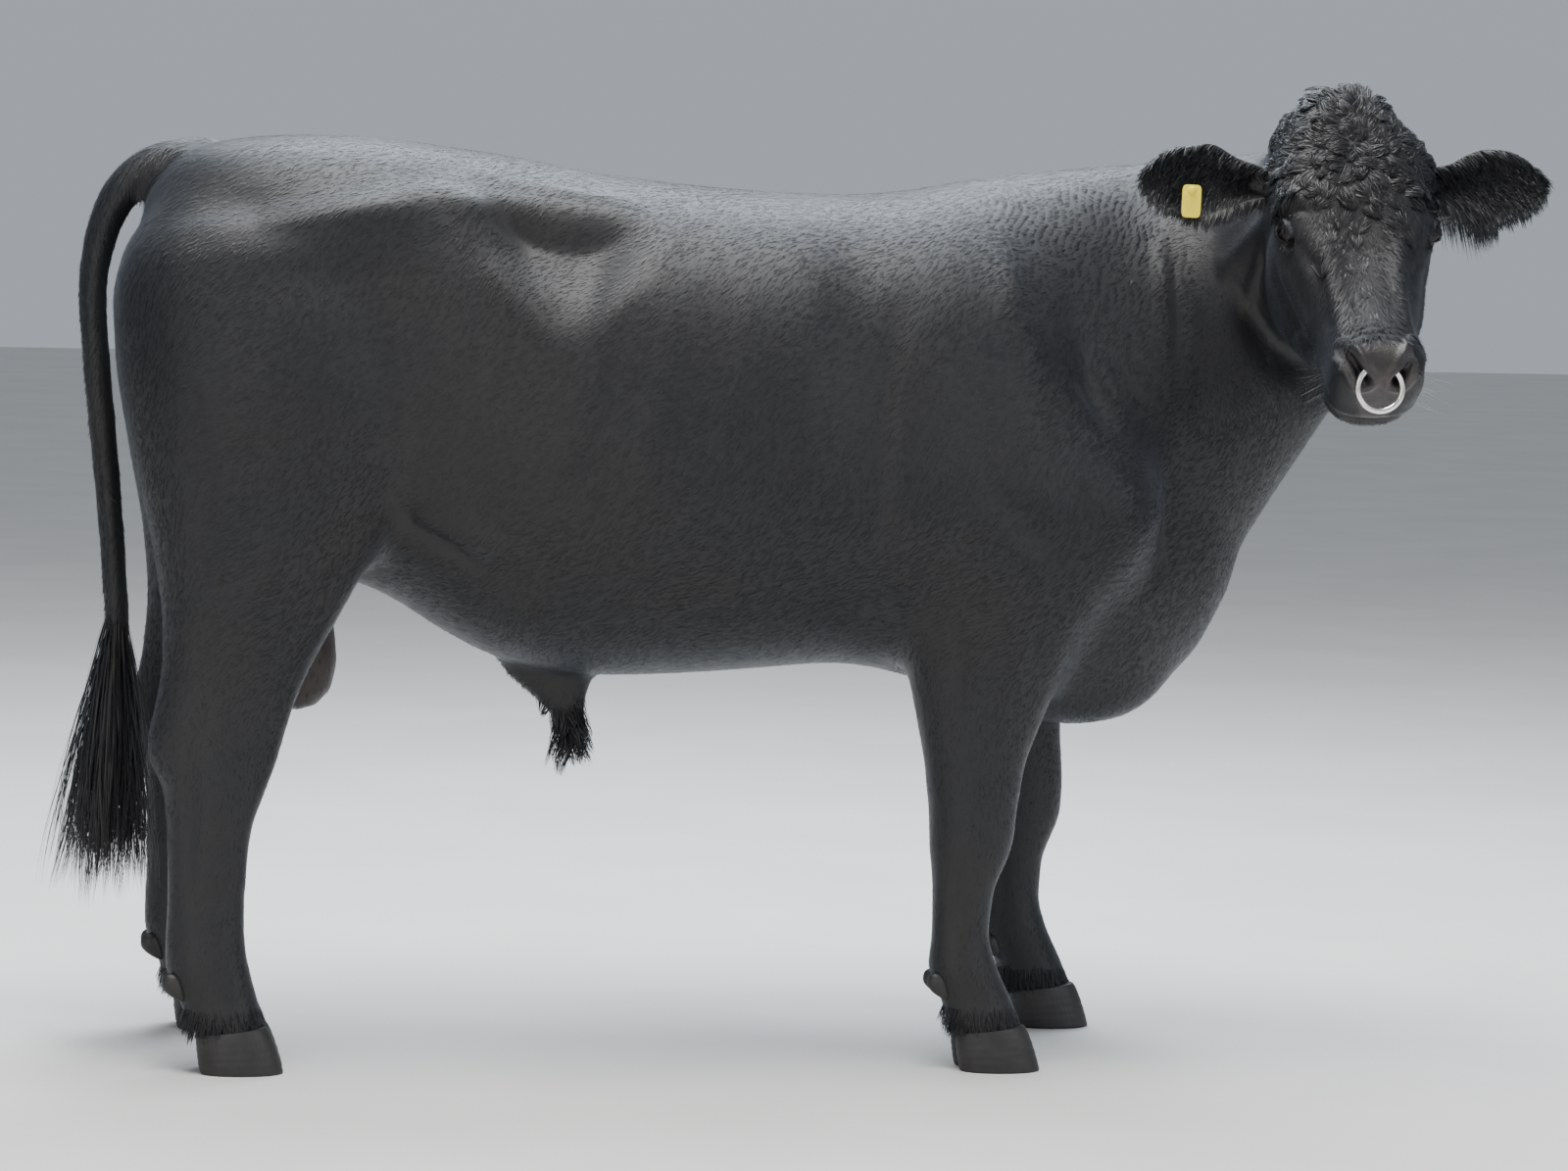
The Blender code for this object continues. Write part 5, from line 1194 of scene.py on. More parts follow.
def mask_mix(tree, name, first, second, kind="RGBA"):
    """Mixes from first to second by a mask that the mesh carries."""
    mask = add_node(tree, "ShaderNodeAttribute", attribute_name=name)
    mix = add_node(tree, "ShaderNodeMix", data_type=kind)
    wanted = {"RGBA": ("A_Color", "B_Color", "Result_Color"),
              "FLOAT": ("A_Float", "B_Float", "Result_Float")}[kind]
    sockets = {socket.identifier: socket for socket in list(mix.inputs) + list(mix.outputs)}
    tree.links.new(mask.outputs["Fac"], sockets["Factor_Float"])
    for value, key in ((first, wanted[0]), (second, wanted[1])):
        if isinstance(value, bpy.types.NodeSocket):
            tree.links.new(value, sockets[key])
        else:
            sockets[key].default_value = value
    return sockets[wanted[2]]


def skin_material():
    """Black coat, with the bare grey-brown muzzle, the scrotum's thin skin, and painted shade in nostrils and
    hollows.
    """
    material, tree, shader = node_material("skin_look")
    coat = ramp(tree, noise(tree, 3.2, 4.0, 0.6).outputs["Fac"], SKIN_TONES)
    muzzle = ramp(tree, noise(tree, 55.0, 5.0, 0.65).outputs["Fac"], MUZZLE_TONES)
    colour = mask_mix(tree, "bare", coat.outputs["Color"], muzzle.outputs["Color"])
    colour = mask_mix(tree, "pouch", colour, (0.030, 0.020, 0.019, 1.0))
    # Painted shade: near black in the nostril pits, along the pad's top and round the eyes, where the lids'
    # margins are also dark
    colour = mask_mix(tree, "hollow", colour, (0.004, 0.003, 0.003, 1.0))
    tree.links.new(colour, shader.inputs["Base Color"])
    tree.links.new(mask_mix(tree, "bare", 0.52, 0.40, "FLOAT"), shader.inputs["Roughness"])
    shader.inputs["Specular IOR Level"].default_value = 0.40
    shader.inputs["Sheen Weight"].default_value = 0.06
    shader.inputs["Sheen Tint"].default_value = SHEEN_COLOUR
    cells = add_node(tree, "ShaderNodeTexVoronoi", Scale=400.0)
    place = add_node(tree, "ShaderNodeTexCoord")
    tree.links.new(place.outputs["Object"], cells.inputs["Vector"])
    hairs = noise(tree, 260.0, 4.0, 0.7)
    height = mask_mix(tree, "bare", hairs.outputs["Fac"], cells.outputs["Distance"], "FLOAT")
    bump(tree, shader, height, 0.35, 0.0010)
    return material


def eye_material():
    """Wet dark eye: deep brown iris round a flat black pupil, and a dark rim."""
    material, tree, shader = node_material("eye_look")
    rim = ramp(tree, noise(tree, 120.0).outputs["Fac"], RIM_TONES)
    iris = ramp(tree, noise(tree, 320.0, 4.0).outputs["Fac"], IRIS_TONES)
    colour = mask_mix(tree, "iris", rim.outputs["Color"], iris.outputs["Color"])
    colour = mask_mix(tree, "pupil", colour, (0.0015, 0.0015, 0.002, 1.0))
    tree.links.new(colour, shader.inputs["Base Color"])
    shader.inputs["Roughness"].default_value = 0.16
    shader.inputs["Specular IOR Level"].default_value = 0.12
    shader.inputs["Coat Weight"].default_value = 0.14
    shader.inputs["Coat Roughness"].default_value = 0.04
    return material


COAT = coat_material("coat_look", (0.0055, 0.0060, 0.0075), (0.0115, 0.0105, 0.0105), 0.50, 0.10)
LONG_HAIR = coat_material("long_hair_look", (0.0050, 0.0052, 0.0060), (0.0100, 0.0085, 0.0080), 0.45, 0.10)
HORN = plain_material("horn_look", (0.013, 0.0115, 0.011), 0.50)
RING = plain_material("ring_look", (0.86, 0.84, 0.78), 0.22, 1.0, 0.06)
TAG = plain_material("tag_look", (0.85, 0.68, 0.03), 0.45, 0.0, 0.10)
# Whiskers: grey hair made lighter as a painted glint of light along them
WHISKER = plain_material("whisker_look", (0.30, 0.28, 0.26), 0.45)
SKIN = skin_material()
EYE = eye_material()


class Roots:
    """Places of hairs on a mesh: points, surface normals, places on its unwrap and lie of the coat."""

    def __init__(self, points, normals, places, lies=None):
        self.points = points
        self.normals = normals
        self.places = places
        self.lies = lies

    def take(self, chosen):
        lies = None if self.lies is None else self.lies[chosen]
        return Roots(self.points[chosen], self.normals[chosen], self.places[chosen], lies)

    def __len__(self):
        return len(self.points)


def scatter(mesh, density_at, rng):
    """Random places on a mesh, so many to the square metre as density_at gives for its triangles."""
    mesh.calc_loop_triangles()
    count = len(mesh.loop_triangles)
    corners = np.empty(count * 3, dtype=np.int64)
    loops = np.empty(count * 3, dtype=np.int64)
    areas = np.empty(count)
    mesh.loop_triangles.foreach_get("vertices", corners)
    mesh.loop_triangles.foreach_get("loops", loops)
    mesh.loop_triangles.foreach_get("area", areas)
    corners, loops = corners.reshape(-1, 3), loops.reshape(-1, 3)
    points, normals = mesh_points(mesh), mesh_points(mesh, "normal")
    unwrap = np.empty(len(mesh.loops) * 2)
    mesh.uv_layers["OFBake"].data.foreach_get("uv", unwrap)
    unwrap = unwrap.reshape(-1, 2)
    wanted = density_at(points[corners].mean(axis=1)) * areas
    repeats = np.floor(wanted + rng.random(count)).astype(int)
    chosen = np.repeat(np.arange(count), repeats)
    a, b = rng.random((2, len(chosen)))
    over = a + b > 1.0
    a[over], b[over] = 1.0 - a[over], 1.0 - b[over]
    shares = np.stack((1.0 - a - b, a, b), axis=1)[:, :, None]
    where = (points[corners[chosen]] * shares).sum(axis=1)
    up = unit((normals[corners[chosen]] * shares).sum(axis=1))
    return Roots(where, up, (unwrap[loops[chosen]] * shares).sum(axis=1))


def tangent(vectors, normals):
    """The vectors laid flat on the surface."""
    return unit(vectors - normals * (vectors * normals).sum(axis=1, keepdims=True))


def turn_about(vectors, axes, angles):
    """Each vector turned about its axis, both at right angles."""
    angles = np.asarray(angles)[:, None]
    return vectors * np.cos(angles) + np.cross(axes, vectors) * np.sin(angles)


def hair_paths(roots, lengths, steps, lift, fall=0.0, wave=0.0, turns=0.0, phases=0.0):
    """Lines of hairs that rise from their roots, lie back along the coat, wave and hang."""
    t = np.linspace(0.0, 1.0, steps + 1)[None, :, None]
    reach = np.asarray(lengths)[:, None, None]
    up, lie = roots.normals[:, None, :], roots.lies[:, None, :]
    side = np.cross(roots.lies, roots.normals)[:, None, :]
    rise = np.asarray(lift).reshape(-1, 1, 1)
    angle = 2.0 * math.pi * turns * t + np.asarray(phases).reshape(-1, 1, 1)
    sway = np.asarray(wave).reshape(-1, 1, 1) * np.sqrt(t)
    bow = lie * t * (1.0 - 0.25 * rise * t) + up * rise * t * (1.0 - 0.55 * t)
    paths = roots.points[:, None, :] + reach * bow
    swing = side * (np.cos(angle) - np.cos(angle[:, :1])) + up * 0.6 * (np.sin(angle) - np.sin(angle[:, :1]))
    paths = paths + sway * swing
    paths[:, :, 2] -= np.asarray(fall).reshape(-1, 1) * t[:, :, 0] ** 2
    return paths


def gather(paths, count, share, rng, power=1.0):
    """Draws hairs towards the nearest of a few of them, so that they end in locks."""
    leaders = rng.choice(len(paths), count, replace=False)
    tree = KDTree(count)
    for index, leader in enumerate(leaders):
        tree.insert(paths[leader, 0], index)
    tree.balance()
    nearest = leaders[np.array([tree.find(root)[1] for root in paths[:, 0]])]
    t = np.linspace(0.0, 1.0, paths.shape[1])[None, :, None] ** power
    target = paths[nearest] - paths[nearest, :1] + paths[nearest, :1]
    drawn = paths + (target - paths) * t * share
    drawn[:, 0] = paths[:, 0]
    return drawn


def blades(name, paths, wide, widths, places, material, blunt=2.0):
    """One joined mesh of flat tapered blades along the given lines."""
    count, rows = paths.shape[0], paths.shape[1] - 1
    t = np.linspace(0.0, 1.0, rows + 1)[None, :-1, None]
    half = wide[:, None, :] * np.asarray(widths).reshape(-1, 1, 1) * 0.5 * (1.0 - t**blunt)
    points = np.concatenate((paths[:, :-1] - half, paths[:, :-1] + half, paths[:, -1:]), axis=1)
    size = 2 * rows + 1
    quads = [(k, rows + k, rows + k + 1, k + 1) for k in range(rows - 1)]
    corners = np.array([corner for quad in quads for corner in quad] + [rows - 1, 2 * rows - 1, 2 * rows])
    loops = (corners[None, :] + (np.arange(count) * size)[:, None]).ravel()
    face_sizes = np.tile(np.array([4] * (rows - 1) + [3]), count)
    mesh = bpy.data.meshes.new(name)
    mesh.vertices.add(count * size)
    mesh.vertices.foreach_set("co", points.reshape(-1))
    mesh.loops.add(len(loops))
    mesh.loops.foreach_set("vertex_index", loops.astype(np.int32))
    mesh.polygons.add(len(face_sizes))
    starts = np.concatenate(([0], np.cumsum(face_sizes)[:-1]))
    mesh.polygons.foreach_set("loop_start", starts.astype(np.int32))
    mesh.update(calc_edges=True)
    smooth(mesh)
    across = np.concatenate((np.full(rows, -PATCH / 2), np.full(rows, PATCH / 2), (0.0,)))
    rising = np.concatenate((np.linspace(-PATCH / 2, PATCH / 2, rows + 1)[:-1],) * 2 + ((PATCH / 2,),))
    spots = places[:, None, :] + np.stack((across, rising), axis=1)[None]
    layer = mesh.uv_layers.new(name="OFBake")
    layer.data.foreach_set("uv", spots.reshape(-1, 2)[loops].ravel())
    return add_object(name, mesh, None, material)


def coat_lie(points, normals):
    """Lie of the coat: back and down over the body, down the legs, from the head back along the neck."""
    lie = np.tile(np.array((-1.0, 0.0, -0.30)), (len(points), 1))
    flank = np.clip(np.abs(normals[:, 1]), 0.0, 1.0)
    lie[:, 2] -= 0.55 * flank
    legs = (1.0 - ease(points[:, 2], 0.50, 0.78))[:, None]
    lie = lie * (1.0 - legs) + np.array((-0.15, 0.0, -1.0)) * legs
    neck = ease(points[:, 0], 0.45, 0.68)[:, None] * (1.0 - legs)
    lie = lie * (1.0 - neck) + np.array((-0.70, 0.36, -0.62)) * neck
    rear = (1.0 - ease(points[:, 0], -0.99, -0.90))[:, None] * (1.0 - legs)
    lie = lie * (1.0 - rear) + np.array((-0.10, 0.0, -1.0)) * rear
    head = head_mask(points)[:, None]
    face = face_lie(points)
    lie = lie * (1.0 - head) + face * head
    swirl = np.stack((np.sin(points[:, 1] * 23.0 + points[:, 2] * 17.0), np.sin(points[:, 0] * 19.0 + 1.3),
                      np.sin(points[:, 0] * 27.0 - points[:, 1] * 21.0)), axis=1)
    return tangent(lie + swirl * 0.22 * (1.0 - head), normals)


def face_lie(points):
    """On the head the coat runs away from the swirl of the brow, and down and back over the cheeks."""
    local = from_head(points)
    out = np.zeros_like(local)
    side = np.clip(local[:, 0] / 0.035, -1.0, 1.0)
    away = local[:, 2] - SWIRL_NOSE
    out[:, 2] = np.clip(away / 0.05, -1.0, 1.0)
    out[:, 0] = side * np.where(away > 0.0, 0.75, 0.60) + local[:, 0] * 4.0 * (away < 0.03)
    cheek = (1.0 - ease(local[:, 1], -0.075, -0.020))[:, None]
    out = out * (1.0 - cheek) + np.array((0.0, -0.75, -0.35)) * cheek
    return out @ np.array(HEAD_TURN.transposed())


def forehead_mask(local):
    """1 where the long wavy hair of the brow and poll grows."""
    brow = (ease(local[:, 1], -0.035, 0.010) * (1.0 - ease(local[:, 2], 0.110, 0.175))
            * (1.0 - ease(np.abs(local[:, 0]), 0.118, 0.150)))
    bridge = (1.0 - ease(np.abs(local[:, 0]), 0.034, 0.085)) * ease(local[:, 1], -0.030, -0.005)
    bridge *= 0.55 * (1.0 - ease(local[:, 2], 0.35, 0.41))
    return np.maximum(brow, bridge) * ease(local[:, 2], -0.165, -0.105)


def make_ear(side, word):
    """Thin cup of an ear, from the same outline as the solid, closer meshed."""
    bm = bmesh.new()
    rows = []
    for i in range(EAR_GRID[0] + 1):
        t = i / EAR_GRID[0]
        row = []
        for j in range(EAR_GRID[1] + 1):
            v = -1 + 2 * j / EAR_GRID[1]
            ripple = Vector((0, 0, 1)) * 0.0016 * math.sin(t * 19.0 + side) * abs(v) ** 3
            row.append(bm.verts.new(on_head(ear_point(t, v, side)) + ripple))
        rows.append(row)
    for i in range(EAR_GRID[0]):
        for j in range(EAR_GRID[1]):
            bm.faces.new((rows[i][j], rows[i + 1][j], rows[i + 1][j + 1], rows[i][j + 1]))
    ear = add_object("ear_skin_" + word, mesh_from_bmesh(bm, "ear_skin_" + word), None, COAT)
    thick = ear.modifiers.new("thickness", "SOLIDIFY")
    thick.thickness = EAR_SKIN_THICKNESS
    thick.offset = 0.0
    edge = ear.modifiers.new("edge", "SUBSURF")
    edge.levels = edge.render_levels = 1
    apply_modifiers(ear)
    smooth(ear.data)
    map_skin(ear)
    return ear


def make_claw(name, toe_x, foot_y, outward, group):
    """One claw with its growth rings, flat on the ground and towards its twin."""
    rings = []
    for n in range(CLAW_LEVELS + 1):
        level = n / CLAW_LEVELS
        share = value_at(CLAW_GIRTH, level)
        share += CLAW_RINGS[0] * math.sin(level * CLAW_RINGS[1]) * math.sin(math.pi * level)
        ring = []
        for k in range(CLAW_POINTS):
            angle = 2 * math.pi * k / CLAW_POINTS
            x = toe_x - CLAW_LENGTH / 2 - CLAW_SLOPE * level
            x += squared(math.cos(angle), 0.85) * CLAW_LENGTH * share / 2
            along = (x - toe_x + CLAW_LENGTH) / CLAW_LENGTH
            height = CLAW_HEEL_HEIGHT + (CLAW_TOE_HEIGHT - CLAW_HEEL_HEIGHT) * along
            across = max(math.sin(angle), CLAW_INNER_FLAT)
            reach = CLAW_WIDTH / (1 - CLAW_INNER_FLAT)
            y = CLAW_SPLIT / 2 + reach * (across * share - CLAW_INNER_FLAT)
            ring.append(Vector((x, foot_y + y * outward, level * height)))
        rings.append(ring)
    return loft(name, rings, group, HORN)


def taper(piece, centre, axis, reach):
    """Draws a round piece in towards its lower end, like a blunt cone."""
    for vertex in piece.data.vertices:
        out = vertex.co - centre
        along = out.dot(axis)
        narrow = 1.0 - DEWCLAW_TAPER * max(0.0, along / reach + 0.5)
        vertex.co = centre + axis * along * DEWCLAW_STRETCH + (out - axis * along) * narrow


def make_foot(which, toe_x, shift, side, word, group):
    """The claws and dewclaws of a foot as one piece."""
    step = value_at(shift, 0.0) if side > 0 else 0.0
    foot = which + "_" + word
    parts = []
    for outward in (side, -side):
        parts.append(make_claw("claw", toe_x + step, side * FOOT_Y, outward, group))
        across = side * FOOT_Y + outward * DEWCLAW_SPREAD
        centre = (toe_x + step + DEWCLAW_BACK[which], across, DEWCLAW_HEIGHT)
        turn = Matrix.Rotation(math.radians(DEWCLAW_LEAN), 3, "Y")
        dewclaw = ellipsoid("dewclaw", centre, DEWCLAW_SIZE, group, turn, 28, 18)
        taper(dewclaw, Vector(centre), turn @ Vector((0.0, 0.0, -1.0)), max(DEWCLAW_SIZE))
        parts.append(dewclaw)
    foot_piece = join_shapes("hoof_" + foot, parts, group)
    dress(foot_piece, HORN)
    nodes = [kind + foot + place for kind in ("claw_", "dewclaw_") for place in ("_outer", "_inner")]
    place_piece(foot_piece, "hoof_horn", *nodes)


def make_tag(group):
    """Blank yellow tag with rounded corners, its stud before the ear and the button behind."""
    along, across, hollow = ear_frame(-1)
    pin = ear_point(TAG_PLACE[0], TAG_PLACE[1], -1)
    axis = HEAD_TURN @ hollow
    front, back = on_head(pin) + axis * TAG_STANDOFF, on_head(pin) - axis * TAG_BACK
    wide, tall = HEAD_TURN @ along, HEAD_TURN @ across
    middle = front - tall * (TAG_SIZE[1] / 2 - 0.008)
    rings = []
    for out, share in ((-0.5, 0.93), (-0.32, 1.0), (0.32, 1.0), (0.5, 0.93)):
        centre = middle + axis * TAG_SIZE[2] * out
        half_wide, half_tall = TAG_SIZE[0] / 2 * share, TAG_SIZE[1] / 2 * (0.5 + 0.5 * share)
        rings.append(ring_points(centre, wide, tall, half_wide, half_tall, half_tall, 6.0, 6.0, 56))
    parts = [loft("plate", rings, group)]
    parts.append(tube("pin", (back, front + axis * 0.003), (TAG_PIN,) * 2, group, None, 4, False))
    stud = (front, front + axis * 0.0025, front + axis * 0.004)
    parts.append(tube("stud", stud, (0.0068, 0.0066, 0.0040), group, None, 5, False))
    button = (back - axis * 0.0015, back + axis * 0.0015)
    parts.append(tube("button", button, (TAG_BUTTON,) * 2, group, None, 6, False))
    tag = join_shapes("tag", parts, group)
    dress(tag, TAG)
    place_piece(tag, "tag_plastic", "ear_tag")


def skin_zones(local, points):
    """Length of the coat over the body, the legs and the face."""
    legs = 1.0 - ease(points[:, 2], 0.35, 0.75)
    length = BODY_HAIR * (1.0 - legs) + LEG_HAIR * legs
    head = head_mask(points)
    bridge = (1.0 - ease(np.abs(local[:, 0]), 0.045, 0.085)) * ease(local[:, 1], -0.045, -0.015)
    face = FACE_HAIR * (1.0 + 0.9 * bridge) * (1.0 - 0.3 * ease(local[:, 2], 0.40, 0.45))
    return length * (1.0 - head) + face * head


def coat_density(points, eyes):
    """Tufts to the square metre: closest on the head, none on bare skin, in the eyes and under the hooves."""
    local = from_head(points)
    head = head_mask(points)
    density = BODY_DENSITY + (FACE_DENSITY - BODY_DENSITY) * head
    bare = bare_muzzle(local, 0.014) * (head > 0.5)
    mouth = (np.abs(local[:, 1] - mouth_height(local)) < 0.004) & (local[:, 2] > MOUTH_AT[2]) & (head > 0.5)
    density *= (1.0 - bare) * ~mouth
    for centre, axes in eyes:
        spread = (points - np.array(centre)) @ axes.T
        density *= ((spread**2).sum(axis=1) > 0.045**2) | (opening(spread[:, 0], spread[:, 1]) > LASH_EDGE)
    density *= 1.0 - 0.7 * forehead_mask(local)
    density *= np.where(in_box(points, *SCROTUM_BOX), 0.15, 1.0)
    ears = ease(np.abs(local[:, 0]), 0.15, 0.17) * (head > 0.5)
    density *= 1.0 - 0.5 * ears
    return density * (points[:, 2] > 0.062)


def make_coat(skin, eyes, rng):
    """Short coat over the whole body and face, in pieces from the rump to the face."""
    roots = scatter(skin.data, lambda points: coat_density(points, eyes), rng)
    local = from_head(roots.points)
    head = head_mask(roots.points)
    roots.lies = coat_lie(roots.points, roots.normals)
    roots.lies = turn_about(roots.lies, roots.normals, rng.normal(0.0, 0.20, len(roots)))
    lengths = skin_zones(local, roots.points) * rng.uniform(0.65, 1.15, len(roots))
    widths = BODY_HAIR_WIDTH + (FACE_HAIR_WIDTH - BODY_HAIR_WIDTH) * head
    widths = widths * rng.uniform(0.7, 1.3, len(roots))
    lift = rng.uniform(0.10, 0.34, len(roots)) + 0.10 * head
    raised, slope = crest_wrinkles(roots.points)
    roots.points = roots.points + roots.normals * (raised * (1.0 - head) - 0.0008)[:, None]
    roots.normals = unit(roots.normals - np.array((1.0, 0.0, 0.0)) * (slope * (1.0 - head))[:, None])
    roots.lies = tangent(roots.lies, roots.normals)
    face = local[:, 2] > FACE_FROM
    face &= head > 0.9
    order = np.argsort(roots.points[:, 0] + 10.0 * face, kind="stable")
    bodies = np.array_split(order[: int((~face).sum())], len(COAT_PIECES))
    pieces = list(zip(COAT_PIECES, bodies)) + [("coat_face", order[int((~face).sum()):])]
    for name, chosen in pieces:
        part = roots.take(chosen)
        paths = hair_paths(part, lengths[chosen], 2, lift[chosen])
        wide = np.cross(part.lies, part.normals)
        piece = blades(name, paths, wide, widths[chosen], part.places, COAT)
        place_piece(piece, "coat")


def long_hair(name, roots, lengths, rng, material, steps, width, lift, wave, turns, locks, share, fall=0.0):
    """Long waving hair drawn into locks."""
    count = len(roots)
    phases = rng.uniform(0.0, 2.0 * math.pi, count)
    paths = hair_paths(roots, lengths, steps, lift, fall, wave, turns, phases)
    paths = gather(paths, min(locks, count), share, rng)
    ahead = unit(paths[:, 1] - paths[:, 0])
    wide = unit(np.cross(ahead, roots.normals + rng.normal(0.0, 0.25, (count, 3))))
    return blades(name, paths, wide, width * rng.uniform(0.7, 1.25, count), roots.places, material)


def make_forehead(skin, rng):
    """Wavy hair of the brow and poll, lying away from its swirl, with a tuft on the poll."""
    def density(points):
        local = from_head(points)
        return BROW_DENSITY * forehead_mask(local) * (head_mask(points) > 0.5)
    roots = scatter(skin.data, density, rng)
    local = from_head(roots.points)
    lies = tangent(face_lie(roots.points), roots.normals)
    bend = 0.55 * np.sin(local[:, 0] * 95.0 + local[:, 2] * 60.0)
    bend = bend + 0.45 * np.sin(local[:, 2] * 120.0 - local[:, 0] * 45.0 + 1.0)
    bend *= 1.0 - ease(local[:, 2], 0.15, 0.24)
    roots.lies = turn_about(lies, roots.normals, bend + rng.normal(0.0, 0.22, len(roots)))
    poll = ease(-local[:, 2], -0.050, 0.010) * (1.0 - ease(np.abs(local[:, 0]), 0.020, 0.060))
    lengths = 0.024 + 0.020 * poll - 0.008 * ease(local[:, 2], 0.13, 0.30)
    lengths = lengths * rng.uniform(0.75, 1.25, len(roots))
    roots.points = roots.points - roots.normals * 0.001
    lift = 0.40 + 0.45 * poll - 0.20 * ease(local[:, 2], 0.13, 0.25) + rng.uniform(-0.08, 0.16, len(roots))
    wave = 0.0042 * (1.0 - 0.6 * ease(local[:, 2], 0.13, 0.25))
    order = np.argsort(local[:, 2], kind="stable")
    for name, chosen in zip(BROW_PIECES, np.array_split(order, len(BROW_PIECES))):
        piece = long_hair(name, roots.take(chosen), lengths[chosen], rng, LONG_HAIR,
                          lift=lift[chosen], wave=wave[chosen], **BROW_STYLE)
        place_piece(piece, "long_hair")


def make_switch(skin, rng):
    """Long hair of the tail's end, hanging in locks."""
    def density(points):
        return SWITCH_DENSITY * in_box(points, *SWITCH_BOX) * ease(-points[:, 2], -0.74, -0.66)
    roots = scatter(skin.data, density, rng)
    count = len(roots)
    drop = rng.uniform(0.0, SWITCH_DROP, count)
    roots.points = roots.points - roots.normals * 0.004
    roots.points[:, 2] = np.minimum(roots.points[:, 2], 0.70) - drop
    out = roots.normals * np.array((1.0, 1.0, 0.0))
    roots.lies = unit(out * rng.uniform(0.02, 0.17, (count, 1)) + np.array((-0.06, 0.0, -1.0)))
    roots.normals = unit(out + rng.normal(0.0, 0.2, (count, 3)))
    tips = rng.uniform(*SWITCH_TIPS, count)
    lengths = np.maximum(roots.points[:, 2] - tips, 0.10) * rng.uniform(0.90, 1.0, count)
    piece = long_hair("hair_switch", roots, lengths, rng, LONG_HAIR, **SWITCH_STYLE)
    place_piece(piece, "long_hair", "tail_switch")


def make_coronet_hair(skin, rng):
    """Hair round the lower end of the legs that hangs over the top of the hooves."""
    def density(points):
        return CORONET_DENSITY * (points[:, 2] < CORONET_HEIGHTS[1]) * (points[:, 2] > CORONET_HEIGHTS[0])
    roots = scatter(skin.data, density, rng)
    count = len(roots)
    lies = roots.normals * np.array((0.30, 0.30, 0.0)) + np.array((0.0, 0.0, -1.0))
    roots.lies = unit(lies + rng.normal(0.0, 0.10, (count, 3)))
    lengths = rng.uniform(*CORONET_HAIR, count)
    piece = long_hair("hair_coronet", roots, lengths, rng, COAT, **CORONET_STYLE)
    place_piece(piece, "coat")


def make_sheath_hair(skin, rng):
    """Longer hair round the end of the sheath."""
    def density(points):
        return SHEATH_DENSITY * in_box(points, *SHEATH_BOX) * ease(-points[:, 2], -0.565, -0.510)
    roots = scatter(skin.data, density, rng)
    count = len(roots)
    low = ease(-roots.points[:, 2], -0.56, -0.50)
    roots.lies = unit(roots.normals * np.array((0.40, 0.40, 0.0)) + np.array((0.05, 0.0, -1.0)))
    lengths = (0.016 + 0.058 * low) * rng.uniform(0.6, 1.1, count)
    piece = long_hair("hair_sheath", roots, lengths, rng, LONG_HAIR, wave=0.006 * (0.2 + low), **SHEATH_STYLE)
    place_piece(piece, "long_hair")


def make_ear_hair(ears, rng):
    """Short coat outside the ears, long soft hair inside them and a fringe along their lower edge."""
    for side, word, ear in ears:
        along, across, hollow = [np.array(HEAD_TURN @ axis) for axis in ear_frame(side)]
        root = np.array(on_head(mirrored(EAR_ROOT, side)))
        roots = scatter(ear.data, lambda points: np.full(len(points), EAR_DENSITY), rng)
        t = (roots.points - root) @ along / EAR_LENGTH
        half = np.array([ear_half_width(value) for value in np.clip(t, 0.0, 1.0)])
        v = (roots.points - root) @ across / np.maximum(half, 0.004)
        inside = roots.normals @ hollow > 0.1
        lower = inside * ease(-v, 0.25, 0.75)
        upper = inside * ease(v, 0.45, 0.85)
        count = len(roots)
        spread = rng.normal(0.0, 0.16, (count, 3))
        outer = along - across * (0.25 * v)[:, None]
        hang = -across * 0.95 + along * 0.42 + hollow * 0.30 + np.array((0.0, 0.0, -0.35))
        down = -across * 0.55 + along * 0.80 + hollow * 0.45
        lies = np.where(inside[:, None], down, outer)
        lies = lies * (1.0 - lower[:, None]) + hang * lower[:, None]
        roots.lies = unit(lies + spread)
        hanging = EAR_FRINGE[side] * lower * ease(1.0 - t, 0.32, 0.66)
        lengths = 0.008 + 0.008 * inside + hanging + 0.002 * upper
        lengths = lengths * rng.uniform(0.6, 1.2, count)
        keep = (t > -0.05) & (rng.random(count) < np.where(inside, 0.50 + 0.5 * lower, 0.85))
        part = roots.take(keep)
        lift = np.where(inside, 0.35, 0.18)[keep]
        fall = (lengths * 0.30 * inside)[keep]
        piece = long_hair("hair_ear_" + word, part, lengths[keep], rng, LONG_HAIR,
                          lift=lift, fall=fall, **EAR_STYLE)
        place_piece(piece, "long_hair")


def make_lashes(skin, eyes, rng):
    """Lashes of the upper lids."""
    spots, lies, lengths = [], [], []
    for centre, axes in eyes:
        for angle in np.linspace(0.30 * math.pi, 0.97 * math.pi, LASHES):
            flat = np.array((math.cos(angle), math.sin(angle)))
            flat *= LASH_EDGE / opening(flat[0], flat[1])
            high = math.sqrt(max(EYE_RADIUS**2 - flat @ flat, 0.0)) + LID_THICK
            rim = np.array(centre) + flat[0] * axes[0] + flat[1] * axes[1] + high * axes[2]
            fan = unit(flat[0] * axes[0] + flat[1] * axes[1]) * 0.85
            spots.append(rim + rng.normal(0.0, 0.0006, 3))
            lies.append(unit(axes[2] + fan + np.array((0, 0, -0.35)) + rng.normal(0.0, 0.14, 3)))
            lengths.append(rng.uniform(*LASH_LENGTHS))
    stiff_hairs("hair_lashes", skin, spots, lies, lengths, LASH_WIDTH, LONG_HAIR)


